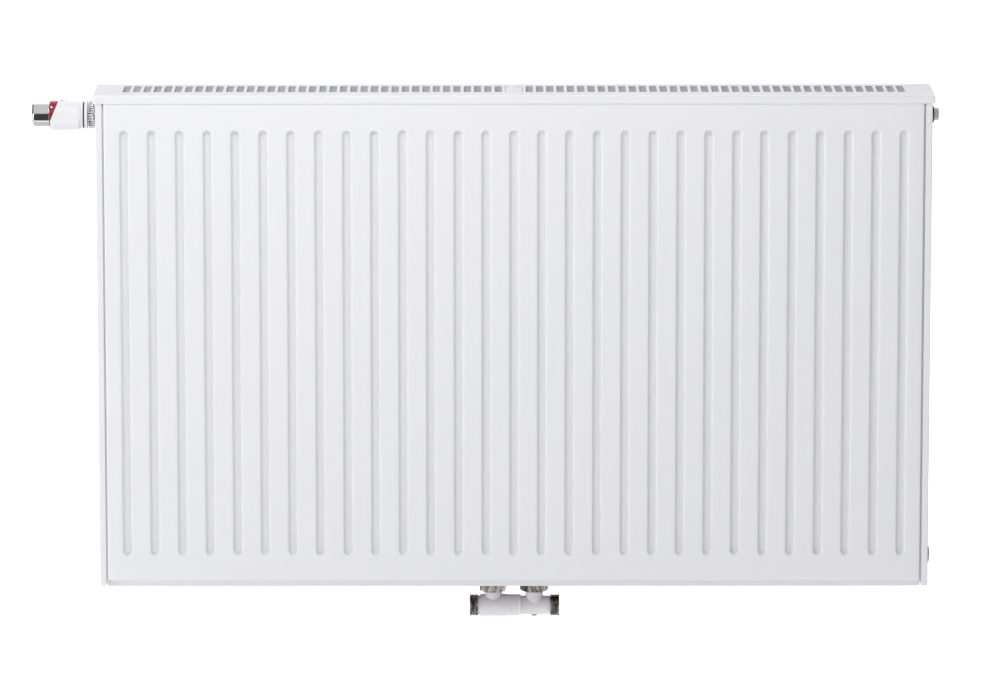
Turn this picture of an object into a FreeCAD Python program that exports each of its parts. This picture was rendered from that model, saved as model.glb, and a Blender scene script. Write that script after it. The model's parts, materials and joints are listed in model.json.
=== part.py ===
import FreeCAD, Part

import math
import os

import Sketcher

# A double-panel steel radiator with convector fins, hung on a wall, with a
# thermostatic valve at its upper left corner and an H-shaped shut-off block
# on the two connections at the middle of its lower edge.
#
# Frame: millimetres, +Z up, +X to the right of someone facing the radiator,
# the room on the -Y side. The origin is on the wall (y = 0), at the centre
# of the four hanging lugs, which is also the centre of the radiator's height.

doc = FreeCAD.newDocument("PanelRadiator")
sheet = doc.addObject("Spreadsheet::Sheet", "Sizes")

# ------------------------------------------------------------------ sizes

SIZES = [
    # the heater as a whole
    ("nominal_length", 1000, "length of the thirty water columns"),
    ("column_count", 30, "water columns in each panel"),
    ("half_height", 300, "half of the overall height"),
    ("wall_gap", 8, "stand-off of the rear panel from the wall"),
    ("depth", 100, "front crest to rear crest"),
    # pressed water panels
    ("panel_half_width", 491, "half width of a water panel"),
    ("panel_top", 298, "top edge of the panels"),
    ("pressing", 7, "pressed depth of one sheet"),
    ("gauge", 1.25, "thickness of the panel sheets"),
    ("seam", 8, "height of the welded seam along top and bottom"),
    ("edge_radius", 2, "bend radius at the panel's side edges"),
    ("groove_width", 10.8, "width of a groove at the crest"),
    ("groove_top", 258, "upper end of the grooves"),
    ("groove_low", 261, "lower end of the grooves, below the centre"),
    ("groove_taper", 32, "slope of the groove walls, degrees"),
    ("rib_foot", 5, "width of the pressed rib at the seam plane"),
    # convector sheets
    ("fin_depth", 27, "depth of a convector"),
    ("fin_gauge", 0.5, "thickness of the convector sheet"),
    ("fin_half_height", 240, "half height of a convector"),
    ("fin_count", 27, "corrugations in a convector"),
    ("fin_foot", 7.6, "half of the foot between two corrugations"),
    ("fin_crown", 6.5, "half width of a corrugation's crown"),
    # covers
    ("grille_half", 503.5, "half length of the top grille"),
    ("grille_lip", 10, "height of the grille's folded edge"),
    ("grille_proud", 1.5, "how far the grille stands out past the panels"),
    ("grille_gauge", 1, "thickness of the grille sheet"),
    ("grille_bend", 2, "outer bend radius of the grille"),
    ("slot_count", 76, "air slots"),
    ("slot_pitch", 12.4, "distance between air slots"),
    ("slot_width", 8.5, "width of an air slot"),
    ("slot_start", 31.5, "front edge of the grille to the slots"),
    ("slot_length", 52.5, "length of an air slot"),
    ("bridge_width", 20, "width of the bridge under the grille"),
    ("bridge_leg", 12, "height of the bridge's folded ends"),
    ("bridge_gauge", 1.2, "thickness of the bridge"),
    ("cover_face", 500.5, "outer face of the side covers"),
    ("cover_flange", 7.7, "width of the side covers' folded edges"),
    ("cover_gauge", 1.2, "thickness of the side covers"),
    ("cover_bend", 1.44, "outer bend radius of the side covers"),
    ("cover_inset", 0.5, "side covers' step back from the panel's crest"),
    ("cover_top", 297, "top of the side covers"),
    ("valve_hole", 19, "radius of the valve's hole in the left cover"),
    ("plug_hole", 12, "radius of the plugs' holes in the covers"),
    # hanging lugs
    ("lug_x", 366.67, "lugs to the centre, sideways"),
    ("lug_z", 235, "lugs to the centre, up and down"),
    ("lug_height", 40, "height of a lug"),
    ("lug_gauge", 1.5, "thickness of a lug"),
    ("lug_half", 12, "half width of a lug's bridge"),
    ("lug_foot", 8, "width of each welded foot"),
    ("lug_slot_radius", 4.5, "half width of the hanging slot"),
    ("lug_slot_length", 18, "end-to-end length of the hanging slot"),
    # corner tees
    ("port_z", 270, "corner connections above and below the centre"),
    ("tee_face", 488, "outer end of every corner tee"),
    ("tee_radius", 14, "outer radius of a plain tee"),
    ("tee_back", 456, "inner end of a plain tee"),
    ("tee_cross", 470, "cross tube of a tee"),
    ("cross_radius", 12, "outer radius of a cross tube"),
    ("cross_bore", 8, "bore radius of a cross tube"),
    ("half_inch_bore", 9.3, "radius of a G1/2 internal thread"),
    ("half_inch_stud", 9.22, "radius of a G1/2 external thread"),
    ("gasket_thick", 1.2, "thickness of the flat gaskets"),
    ("gasket_radius", 12.8, "outer radius of the flat gaskets"),
    ("flange_width", 3, "thickness of the flange on what is screwed in"),
    ("thread_fit", 0.1, "radial clearance of a screwed thread"),
    # thermostatic valve
    ("valve_tee_radius", 15, "outer radius of the valve's tee"),
    ("valve_tee_back", 440, "inner end of the valve's tee"),
    ("riser_port", 448, "riser's port in the valve's tee"),
    ("riser_socket", 10.5, "outer radius of the riser's socket"),
    ("socket_depth", 21, "riser's socket below the valve's axis"),
    ("seat_face", 456, "face of the valve seat"),
    ("seat_thick", 3, "thickness of the valve seat"),
    ("seat_bore", 5, "radius of the valve seat's bore"),
    ("stem_radius", 3, "radius of the valve stem"),
    ("stem_fit", 0.05, "radial clearance of sliding and turning fits"),
    ("disc_gap", 0.5, "opening between disc and seat as stored"),
    ("disc_thick", 3, "thickness of the valve disc"),
    ("disc_radius", 7, "radius of the valve disc"),
    ("spring_coils", 5, "coils in the valve spring"),
    ("spring_wire", 0.5, "wire radius of the valve spring"),
    ("spring_radius", 4.7, "mean radius of the valve spring"),
    ("spring_gap", 0.1, "spring's end to what it stands on"),
    ("chamber_radius", 6.5, "radius of the spring's chamber"),
    ("chamber_depth", 3, "floor of the spring's chamber, inside the tee's face"),
    ("washer_radius", 6, "radius of the washer behind the disc"),
    ("washer_thick", 1.5, "thickness of the stem's washer and collar"),
    ("rivet_radius", 3.6, "radius of the rivet head that holds the disc"),
    ("rivet_thick", 1.3, "thickness of the rivet head"),
    ("disc_bore", 2.4, "radius of the stem inside the disc"),
    ("collar_rise", 7.5, "tee's face to the stem's collar"),
    ("stem_collar", 5.8, "radius of the stem's collar"),
    ("stem_pin", 2, "radius of the stem's outer end"),
    ("stem_reach", 9, "stem's end past the union nut's inner end"),
    ("insert_thread", 14.85, "radius of the M30 thread on the insert"),
    ("insert_flange", 13, "radius of the insert's flange"),
    ("insert_depth", 11.2, "how far the insert reaches into its tee"),
    ("insert_reach", 6, "insert's end past the union nut's inner end"),
    ("stem_seal_setback", 3, "chamber's floor to the middle of the stem's seal"),
    ("stem_groove_half", 1.1, "half width of the stem seal's groove"),
    ("stem_groove", 5.1, "radius of the stem seal's groove"),
    ("stem_seal_half", 1, "half thickness of the stem's seal"),
    ("gland_thick", 3, "thickness of the gland"),
    ("gland_hole", 2.1, "radius of the hole in the gland"),
    # thermostatic head, stations measured outward from the centre plane
    ("nut_start", 497, "inner end of the head's union nut"),
    ("nut_end", 511, "outer end of the head's union nut"),
    ("nut_radius", 16.75, "outer radius of the union nut"),
    ("nut_eye", 13.1, "radius of the hole in the union nut's end"),
    ("nut_lip", 3, "thickness of the union nut's end"),
    ("nut_bevel", 0.8, "bevels of the union nut"),
    ("knurl_count", 40, "grooves around the union nut"),
    ("knurl_half", 0.8, "half width of such a groove"),
    ("knurl_depth", 0.7, "depth of such a groove"),
    ("base_start", 503.5, "inner end of the base"),
    ("base_flange", 14.3, "radius of the base's flange inside the nut"),
    ("base_neck", 12.95, "radius of the base's neck inside the nut's end"),
    ("base_wall", 2, "wall of the base's bearing"),
    ("base_floor", 2.5, "thickness of the base's floor"),
    ("ring_start", 512.2, "inner end of the base's first ring"),
    ("ring_radius", 17.5, "radius of the two base rings"),
    ("ring_width", 2, "width of the second ring and of the groove before it"),
    ("ring_depth", 2.2, "depth of the groove between the rings"),
    ("seat_radius", 16.6, "radius on which the sleeve sits"),
    ("seat_length", 6.5, "length of the sleeve's seat"),
    ("guide_radius", 4.3, "radius of the pressure pin's guide"),
    ("sleeve_start", 521.5, "inner end of the sleeve"),
    ("sleeve_end", 556.5, "outer end of the sleeve"),
    ("sleeve_small", 18.3, "sleeve's outer radius at the radiator"),
    ("sleeve_large", 19.4, "sleeve's outer radius at the far end"),
    ("sleeve_wall", 1.4, "wall of the sleeve"),
    ("sleeve_shoulder", 4.5, "depth of the sleeve's snug end"),
    ("sleeve_bore", 17.05, "radius of the sleeve's bore at its shoulder"),
    ("slant_reach", 26, "reach of the slanted cut past the axis"),
    ("window_top", 546.2, "oblique edge at the top of the sleeve"),
    ("window_low", 5.5, "oblique edge's lower end, below the axis"),
    ("bearing_radius", 13.5, "radius of the setting ring's bearing"),
    ("bearing_end", 545, "outer end of the setting ring's bearing"),
    ("setting_radius", 16.7, "radius of the setting ring"),
    ("setting_start", 540, "inner end of the setting ring"),
    ("setting_web", 546, "inner face of the setting ring's web"),
    ("setting_spigot", 5.5, "how far the setting ring reaches into the cap"),
    ("setting_throat", 11.9, "radius of the setting ring's throat"),
    ("cap_start", 557.5, "inner end of the chrome cap"),
    ("cap_end", 578.7, "outer end of the chrome cap"),
    ("cap_radius", 14.75, "radius of the chrome cap"),
    ("cap_wall", 1.5, "wall of the chrome cap"),
    ("cap_bevel", 2.5, "bevel of the chrome cap"),
    ("sensor_radius", 11, "radius of the sensor cartridge"),
    ("sensor_start", 531, "inner end of the sensor cartridge"),
    ("sensor_end", 555, "outer end of the sensor cartridge"),
    ("sensor_bevel", 1.5, "bevel of the cartridge's outer end"),
    ("pressure_radius", 4, "radius of the pressure pin"),
    ("pressure_bevel", 1, "bevels of the pressure pin and the cartridge's inner end"),
    # air vent and blind plugs
    ("barrel_end", 503, "outer end of the vent plug's barrel"),
    ("barrel_radius", 9.6, "radius of the vent plug's barrel"),
    ("vent_flange", 12.5, "radius of the vent plug's flange"),
    ("vent_depth", 11, "how far the vent plug reaches into its tee"),
    ("vent_ring", 2, "thickness of the dark ring on the vent plug"),
    ("vent_ring_bore", 4.3, "bore radius of that ring"),
    ("spigot_radius", 4, "spigot that the vent nozzle turns on"),
    ("spigot_end", 508.4, "outer end of the spigot"),
    ("nozzle_end", 511, "outer end of the vent nozzle"),
    ("nozzle_gap", 0.1, "dark ring to the vent nozzle"),
    ("nozzle_play", 0.4, "spigot's end to the floor of the nozzle"),
    ("nozzle_eye", 3.25, "radius of the hole in the nozzle's end"),
    ("spout_place", 508.35, "middle of the nozzle's spout"),
    ("spout_radius", 0.9, "radius of the nozzle's spout"),
    ("nozzle_flats", 13, "width across the nozzle's flats"),
    ("screw_radius", 2, "radius of the vent screw"),
    ("screw_square", 4, "square of the vent screw"),
    ("screw_start", 484, "inner end of the vent screw's point"),
    ("screw_point", 1.5, "length of that point"),
    ("square_start", 508.9, "inner end of the screw's square"),
    ("square_end", 510.6, "outer end of the screw's square"),
    ("plug_proud_end", 504.8, "outer end of the right blind plug"),
    ("plug_flush_end", 499, "outer end of the left blind plug"),
    ("plug_radius", 10, "radius of a blind plug's head"),
    ("plug_flange", 12.5, "radius of a blind plug's flange"),
    ("plug_depth", 12, "how far a blind plug reaches into its tee"),
    ("plug_bevel", 0.6, "bevel of a blind plug's head"),
    ("plug_key", 10, "hexagon key of a blind plug"),
    ("plug_key_depth", 6, "depth of that hexagon"),
    # connections at the middle of the lower edge
    ("branch", 25, "each connection to the centre"),
    ("manifold_half", 42, "half length of the manifold"),
    ("manifold_half_depth", 13, "half depth of the manifold"),
    ("manifold_low", 290, "manifold's lower face, below the centre"),
    ("manifold_top", 263, "manifold's upper face, below the centre"),
    ("manifold_cross", 11, "outer radius of the manifold's cross tube"),
    ("manifold_socket", 10.45, "radius of the manifold's sockets for the nipples"),
    ("socket_drill", 11.5, "depth of those sockets"),
    ("return_z", 274, "return cross tube, below the centre"),
    ("riser_radius", 7.5, "outer radius of the riser pipe"),
    ("riser_bore", 6.5, "bore radius of the riser pipe"),
    ("riser_low", 276, "riser's lower end, below the centre"),
    ("riser_high", 258, "riser's upper end, above the centre"),
    ("riser_run", 215, "riser's level run, below the centre"),
    ("riser_bend", 30, "bend radius of the riser pipe"),
    ("nipple_thread", 13.1, "radius of a G3/4 external thread"),
    ("nipple_stud", 10.4, "radius of the nipple's end inside the manifold"),
    ("nipple_reach", 11, "length of that end"),
    ("nipple_relief", 1, "depth of the step above the nipple's thread"),
    ("nipple_shoulder", 3, "height of that step"),
    ("nipple_low", 304, "lower end of the nipples, below the centre"),
    ("seal_thick", 2, "thickness of the flat seals in the unions"),
    ("seal_inner", 7, "inner radius of those seals"),
    ("seal_outer", 12, "outer radius of those seals"),
    ("union_low", 314.6, "lower end of the union nuts"),
    ("union_height", 16, "height of the union nuts"),
    ("union_flats", 30, "width across the union nuts' flats"),
    ("union_eye", 10.8, "radius of the hole in a union nut's end"),
    ("union_bevel", 1.6, "height of the bevel at a union nut's end"),
    ("union_rim", 14.7, "inner radius of that bevel"),
    # H-shaped shut-off block
    ("block_z", 333, "block's axis, below the centre"),
    ("neck_radius", 10.5, "outer radius of the block's necks"),
    ("neck_flange", 12.4, "radius of the flange inside a union nut"),
    ("flange_thick", 3, "thickness of the flange inside a union nut"),
    ("shell_radius", 13.5, "radius of the left half"),
    ("shell_start", 40.7, "left half's outer end"),
    ("shell_stop", 6.8, "left half's seam to the centre"),
    ("left_lip", 43.4, "left half's end inside the pipe tail"),
    ("left_lip_radius", 11.72, "radius of that end"),
    ("body_radius", 11.4, "radius of the right half"),
    ("body_start", 7.7, "right half's seam to the centre"),
    ("body_stop", 43.8, "right half's outer end"),
    ("right_lip", 44.4, "right half's end inside the pipe tail"),
    ("right_lip_radius", 10.22, "radius of that end"),
    ("seam_gap", 0.2, "each half's inner end to the centre"),
    ("stub_radius", 9, "radius of the halves inside the collar"),
    ("collar_radius", 13, "radius of the collar between the halves"),
    ("collar_bevel", 0.4, "bevel at the collar's left end"),
    ("collar_slope", 1, "bevel at the collar's right end"),
    ("saddle_radius", 1.5, "fillet between neck and barrel"),
    ("pipe_thread", 13.22, "radius of the pipe connectors' G3/4 thread"),
    ("left_pipe_end", 53.5, "left connector's end to the centre"),
    ("right_pipe_end", 55.5, "right connector's end to the centre"),
    ("tail_bevel", 0.7, "bevels of a pipe tail's thread"),
    ("tail_wall", 4.3, "pipe tail's thread to its shank"),
    ("tail_step", 1.5, "step in the water way where a tail begins"),
    ("tail_mouth", 3, "depth and width of a tail's conical mouth"),
    ("tail_relief", 1, "length of that step"),
    ("shank_depth", 6.5, "how far a tail's shank enters the block"),
    ("shank_gap", 0.5, "shank's end to the floor of its socket"),
    ("water_bore", 6.2, "radius of the water way"),
    ("cock_radius", 6, "radius of a shut-off plug"),
    ("cock_port", 4.2, "radius of a shut-off plug's ports"),
    ("cock_top", 9, "upper end of a shut-off plug, above the block's axis"),
    ("cock_floor", 8, "floor of its chamber, below the block's axis"),
    ("cock_gap", 0.1, "shut-off plug to that floor"),
    ("cock_groove", 2.2, "shut-off plug's foot to the middle of its groove"),
    ("cock_groove_half", 0.7, "half width of that groove"),
    ("cock_groove_depth", 0.9, "depth of that groove"),
    ("cock_seal_half", 0.44, "half thickness of the seal in that groove"),
    ("cock_key", 3, "hexagon key of a shut-off plug"),
    ("cock_key_depth", 2.5, "depth of that hexagon"),
    ("spindle_drill", 20, "length of the hole for the spindle"),
    ("spindle_radius", 3.4, "radius of a shut-off plug's spindle"),
    ("spindle_low", 345.7, "lower end of the spindles"),
]


class Size:
    """A number together with the expression that works it out."""

    def __init__(self, number, text):
        self.number = number
        self.text = text

    def __add__(self, other):
        other = as_size(other)
        return Size(self.number + other.number, f"({self.text} + {other.text})")

    def __sub__(self, other):
        other = as_size(other)
        return Size(self.number - other.number, f"({self.text} - {other.text})")

    def __mul__(self, other):
        other = as_size(other)
        return Size(self.number * other.number, f"({self.text} * {other.text})")

    def __truediv__(self, other):
        other = as_size(other)
        return Size(self.number / other.number, f"({self.text} / {other.text})")

    def __neg__(self):
        return Size(-self.number, f"(0 - {self.text})")


def as_size(value):
    """Numbers become sizes whose expression is the number itself."""
    if isinstance(value, Size):
        return value
    return Size(float(value), f"({float(value):.6f})")


def fill_sheet():
    """One row for each size: its name, its number and what it is."""
    for row, (name, number, note) in enumerate(SIZES, 1):
        sheet.set(f"A{row}", name)
        sheet.set(f"B{row}", str(number))
        sheet.set(f"C{row}", note)
        sheet.setAlias(f"B{row}", name)
    doc.recompute()


def size(name):
    """The size with that name in the spreadsheet."""
    return Size(float(sheet.get(name)), f"Sizes.{name}")


fill_sheet()

# Places that several pieces share.
PITCH = size("nominal_length") / size("column_count")
FRONT_Y = -(size("wall_gap") + size("depth"))
REAR_Y = -size("wall_gap")
MIDDLE_Y = -(size("wall_gap") + size("depth") / 2)
FRONT_SEAM_Y = FRONT_Y + size("pressing")
FRONT_INNER_Y = FRONT_SEAM_Y + size("pressing")
REAR_SEAM_Y = REAR_Y - size("pressing")
REAR_INNER_Y = REAR_SEAM_Y - size("pressing")
CROSS_LENGTH = size("depth") - size("pressing") * 4
PORT_Z = size("port_z")
BLOCK_Z = -size("block_z")
FIT = size("stem_fit")

FORWARD = 0
TURNED = 180

# How closely edges are told apart, and how far a cut reaches past the outside.
TOLERANCE = 0.001
OVERCUT = 0.2

# How far the two hexagonal union nuts are turned, in degrees.
FLOW_NUT_TURN = 20
RETURN_NUT_TURN = 5

# ---------------------------------------------------------------- helpers


def bind(thing, name, value):
    """Sets a property from a size and ties it to the spreadsheet."""
    value = as_size(value)
    if "." not in name and "[" not in name:
        setattr(thing, name, value.number)
    thing.setExpression(name, value.text)


def new_body(label, place=(0, 0, 0), turn=FORWARD):
    """A body at a place, turned about the vertical by an angle in degrees."""
    body = doc.addObject("PartDesign::Body", label)
    body.Label = label
    upright = FreeCAD.Rotation(FreeCAD.Vector(0, 0, 1), turn)
    spot = [as_size(value) for value in place]
    body.Placement = FreeCAD.Placement(FreeCAD.Vector(*[v.number for v in spot]), upright)
    for axis, value in zip("xyz", spot):
        bind(body, f"Placement.Base.{axis}", value)
    return body


def new_sketch(body, name, role, offset=0):
    """A sketch on one of the body's own planes, moved along its normal."""
    sketch = body.newObject("Sketcher::SketchObject", name)
    plane = [f for f in body.Origin.OriginFeatures if f.Role == role][0]
    sketch.AttachmentSupport = [(plane, "")]
    sketch.MapMode = "FlatFace"
    offset = as_size(offset)
    sketch.AttachmentOffset = FreeCAD.Placement(
        FreeCAD.Vector(0, 0, offset.number), FreeCAD.Rotation()
    )
    bind(sketch, "AttachmentOffset.Base.z", offset)
    return sketch


def pin_point(sketch, line, end, point):
    """Holds one end of a line at a point given by two sizes."""
    for kind, value in zip(("DistanceX", "DistanceY"), point):
        value = as_size(value)
        constraint = Sketcher.Constraint(kind, -1, 1, line, end, value.number)
        index = sketch.addConstraint(constraint)
        sketch.setExpression(f"Constraints[{index}]", value.text)


def draw_outline(sketch, points):
    """A closed outline of straight lines through the points."""
    spots = [(as_size(x), as_size(y)) for x, y in points]
    first = sketch.GeometryCount
    count = len(spots)
    for i in range(count):
        (x1, y1), (x2, y2) = spots[i], spots[(i + 1) % count]
        start = FreeCAD.Vector(x1.number, y1.number, 0)
        end = FreeCAD.Vector(x2.number, y2.number, 0)
        sketch.addGeometry(Part.LineSegment(start, end), False)
    for i in range(count):
        line, following = first + i, first + (i + 1) % count
        sketch.addConstraint(Sketcher.Constraint("Coincident", line, 2, following, 1))
        pin_point(sketch, line, 1, spots[i])


def draw_rectangle(sketch, left, low, right, top):
    """A rectangle between two corners."""
    draw_outline(sketch, [(left, low), (right, low), (right, top), (left, top)])


def draw_circle(sketch, x, y, radius):
    """A circle with its centre and radius held."""
    x, y, radius = as_size(x), as_size(y), as_size(radius)
    centre = FreeCAD.Vector(x.number, y.number, 0)
    circle = Part.Circle(centre, FreeCAD.Vector(0, 0, 1), radius.number)
    ring = sketch.addGeometry(circle, False)
    pin_point(sketch, ring, 3, (x, y))
    index = sketch.addConstraint(Sketcher.Constraint("Radius", ring, radius.number))
    sketch.setExpression(f"Constraints[{index}]", radius.text)


def draw_polygon(sketch, x, y, flats, sides, turn=0):
    """A regular polygon, given by the distance across its flats."""
    corner = as_size(flats) / (2 * math.cos(math.pi / sides))
    angles = [math.radians(turn) + 2 * math.pi * k / sides for k in range(sides)]
    spots = [(corner * math.cos(a) + x, corner * math.sin(a) + y) for a in angles]
    draw_outline(sketch, spots)


def draw_slot(sketch, middle, low, high, width):
    """An upright slot with round ends."""
    middle, low, high = as_size(middle), as_size(low), as_size(high)
    radius = as_size(width) / 2
    r, x = radius.number, middle.number
    lower = (low + radius).number
    upper = (high - radius).number
    up = FreeCAD.Vector(0, 0, 1)
    corner = FreeCAD.Vector
    left = sketch.addGeometry(
        Part.LineSegment(corner(x - r, upper, 0), corner(x - r, lower, 0)), False
    )
    bowl = Part.ArcOfCircle(Part.Circle(corner(x, lower, 0), up, r), math.pi, 2 * math.pi)
    bottom = sketch.addGeometry(bowl, False)
    right = sketch.addGeometry(
        Part.LineSegment(corner(x + r, lower, 0), corner(x + r, upper, 0)), False
    )
    arch = Part.ArcOfCircle(Part.Circle(corner(x, upper, 0), up, r), 0, math.pi)
    top = sketch.addGeometry(arch, False)
    for a, a_end, b, b_end in [
        (left, 2, bottom, 1),
        (bottom, 2, right, 1),
        (right, 2, top, 1),
        (top, 2, left, 1),
    ]:
        sketch.addConstraint(Sketcher.Constraint("Tangent", a, a_end, b, b_end))
    pin_point(sketch, bottom, 3, (middle, low + radius))
    height = sketch.addConstraint(
        Sketcher.Constraint("DistanceY", -1, 1, top, 3, upper)
    )
    sketch.setExpression(f"Constraints[{height}]", (high - radius).text)
    round_end = sketch.addConstraint(Sketcher.Constraint("Radius", bottom, r))
    sketch.setExpression(f"Constraints[{round_end}]", radius.text)


def extrude(body, kind, sketch, length, reverse=False, both_ways=False, taper=None):
    """A Pad or Pocket of a sketch, checked to have changed the volume."""
    before = body.Shape.Volume if body.Tip else 0
    feature = body.newObject(f"PartDesign::{kind}", sketch.Label + kind)
    feature.Profile = sketch
    bind(feature, "Length", length)
    feature.Reversed = reverse
    feature.Midplane = both_ways
    if taper is not None:
        bind(feature, "TaperAngle", taper)
    doc.recompute()
    changed = feature.Shape.Volume - before
    if (changed <= 0) == (kind == "Pad"):
        raise ValueError(f"{body.Label}: {feature.Label} changed nothing")
    return feature


def pad(body, sketch, length, **how):
    return extrude(body, "Pad", sketch, length, **how)


def pocket(body, sketch, length, **how):
    return extrude(body, "Pocket", sketch, length, **how)


def revolve(body, kind, sketch, axis):
    """A full Revolution or Groove about an axis of its sketch."""
    feature = body.newObject(f"PartDesign::{kind}", sketch.Label + kind)
    feature.Profile = sketch
    feature.ReferenceAxis = (sketch, [axis])
    feature.Angle = 360
    doc.recompute()
    return feature


def turned_piece(label, outline, place, turn=FORWARD, axis="H_Axis"):
    """A lathe-turned body: its half outline spun about X (H) or Z (V)."""
    body = new_body(label, place, turn)
    sketch = new_sketch(body, label + "_outline", "XZ_Plane")
    draw_outline(sketch, outline)
    revolve(body, "Revolution", sketch, axis)
    return body


def bore(body, name, role, x, y, radius, length, offset=0, **how):
    """A round hole from one of the body's planes."""
    sketch = new_sketch(body, name, role, offset)
    draw_circle(sketch, x, y, radius)
    return pocket(body, sketch, length, **how)


def boss(body, name, role, x, y, radius, length, offset=0, **how):
    """A round pad from one of the body's planes."""
    sketch = new_sketch(body, name, role, offset)
    draw_circle(sketch, x, y, radius)
    return pad(body, sketch, length, **how)


def row_pattern(body, features, length, count):
    """Repeats features in a row along the first one's sketch X axis."""
    pattern = body.newObject("PartDesign::LinearPattern", body.Label + "_row")
    pattern.Originals = features
    pattern.Direction = (features[0].Profile[0], ["H_Axis"])
    bind(pattern, "Length", length)
    pattern.Occurrences = int(round(as_size(count).number))
    body.Tip = pattern
    doc.recompute()
    return pattern


def ring_pattern(body, features, axis, count):
    """Repeats features around an axis of the first one's sketch."""
    pattern = body.newObject("PartDesign::PolarPattern", body.Label + "_ring")
    pattern.Originals = features
    pattern.Axis = (features[0].Profile[0], [axis])
    pattern.Angle = 360
    pattern.Occurrences = int(round(as_size(count).number))
    body.Tip = pattern
    doc.recompute()
    return pattern


def round_edges(body, feature, radius, wanted):
    """Fillets the edges of a feature for which wanted(edge) is true."""
    names = [
        f"Edge{k}" for k, edge in enumerate(feature.Shape.Edges, 1) if wanted(edge)
    ]
    fillet = body.newObject("PartDesign::Fillet", body.Label + "_bends")
    fillet.Base = (feature, names)
    bind(fillet, "Radius", radius)
    body.Tip = fillet
    doc.recompute()
    return fillet


def is_upright(edge):
    """True for a straight edge that runs along Z."""
    box = edge.BoundBox
    return box.XLength < TOLERANCE and box.YLength < TOLERANCE and box.ZLength > 1


def group(label, bodies):
    """Identical small pieces kept together as one named group."""
    compound = doc.addObject("Part::Compound", label)
    compound.Label = label
    compound.Links = bodies
    doc.recompute()
    return compound


NODES = []


def keep(thing):
    """Adds a finished sub-part to the ones that are written."""
    NODES.append(thing)
    return thing


# ----------------------------------------------------------- water panels


def panel_sheet(label, seam_y, turn, tappings=()):
    """A pressed steel sheet: a flat seam, a raised crest and its grooves.

    In the body's own frame the seam lies on y = 0 and the crest towards -Y.
    Tappings are (x, z, radius) holes through the crest.
    """
    body = new_body(label, (0, seam_y, 0), turn)
    half, gauge = size("panel_half_width"), size("gauge")
    low, top = -size("half_height"), size("panel_top")
    seam, pressing = size("seam"), size("pressing")

    plate = new_sketch(body, label + "_plate", "XZ_Plane")
    draw_rectangle(plate, -half, low, half, top)
    pad(body, plate, gauge)
    crest = new_sketch(body, label + "_crest", "XZ_Plane")
    draw_rectangle(crest, -half, low + seam, half, top - seam)
    raised = pad(body, crest, pressing)
    round_edges(
        body,
        raised,
        size("edge_radius"),
        lambda edge: is_upright(edge)
        and abs(edge.BoundBox.YMin + pressing.number) < TOLERANCE,
    )
    hollow = new_sketch(body, label + "_hollow", "XZ_Plane")
    draw_rectangle(hollow, -half + gauge, low + seam + gauge, half - gauge, top - seam - gauge)
    pocket(body, hollow, pressing - gauge, reverse=True)

    first = -PITCH * (size("column_count") / 2 - 1)
    foot, taper = size("rib_foot"), size("groove_taper")
    inset = (size("groove_width") - foot) / 2
    rib = new_sketch(body, label + "_rib", "XZ_Plane")
    draw_slot(rib, first, -size("groove_low") + inset, size("groove_top") - inset, foot)
    rib_pad = pad(body, rib, pressing - gauge / 2, taper=taper)
    groove = new_sketch(body, label + "_groove", "XZ_Plane", pressing)
    draw_slot(groove, first, -size("groove_low"), size("groove_top"), size("groove_width"))
    groove_cut = pocket(body, groove, pressing - gauge, reverse=False, taper=-taper)
    columns = size("column_count")
    row_pattern(body, [rib_pad, groove_cut], PITCH * (columns - 2), columns - 1)

    for number, (x, z, radius) in enumerate(tappings, 1):
        name = f"{label}_tapping_{number}"
        bore(body, name, "XZ_Plane", x, z, radius, pressing * 2, reverse=True)
    return keep(body)


def corner_tappings():
    """The four corner holes of an inner sheet."""
    x, radius = size("tee_cross"), size("cross_bore")
    return [(sx * x.number, sz * PORT_Z.number, radius) for sx in (-1, 1) for sz in (-1, 1)]


def water_panels():
    branch, radius = size("branch"), size("cross_bore")
    corners = corner_tappings()
    panel_sheet("front_outer_sheet", FRONT_SEAM_Y, FORWARD)
    panel_sheet(
        "front_inner_sheet",
        FRONT_SEAM_Y,
        TURNED,
        corners + [(-branch, -size("return_z"), radius)],
    )
    panel_sheet(
        "rear_inner_sheet",
        REAR_SEAM_Y,
        FORWARD,
        corners + [(branch, -size("return_z"), radius)],
    )
    panel_sheet("rear_outer_sheet", REAR_SEAM_Y, TURNED)


# ------------------------------------------------------------- convectors


def convector(label, panel_y, turn):
    """A corrugated sheet whose feet stand on a panel's inner crest.

    In the body's own frame the feet lie on y = 0 and the crowns at -Y.
    """
    body = new_body(label, (0, panel_y, 0), turn)
    depth, gauge = size("fin_depth"), size("fin_gauge")
    foot, crown = PITCH / 2 - size("fin_foot"), size("fin_crown")
    outer = [(-PITCH / 2, 0), (-foot, 0), (-crown, -depth + gauge)]
    outer += [(crown, -depth + gauge), (foot, 0), (PITCH / 2, 0)]
    inner = [(PITCH / 2, -gauge), (foot + gauge, -gauge), (crown + gauge, -depth)]
    inner += [(-crown - gauge, -depth), (-foot - gauge, -gauge), (-PITCH / 2, -gauge)]
    first = -PITCH * (size("fin_count") - 1) / 2
    wave = new_sketch(body, label + "_wave", "XY_Plane", -size("fin_half_height"))
    draw_outline(wave, [(first + x, y) for x, y in outer + inner])
    module = pad(body, wave, size("fin_half_height") * 2)
    count = size("fin_count")
    row_pattern(body, [module], PITCH * (count - 1), count)
    return keep(body)


# ----------------------------------------------------------------- covers


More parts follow.
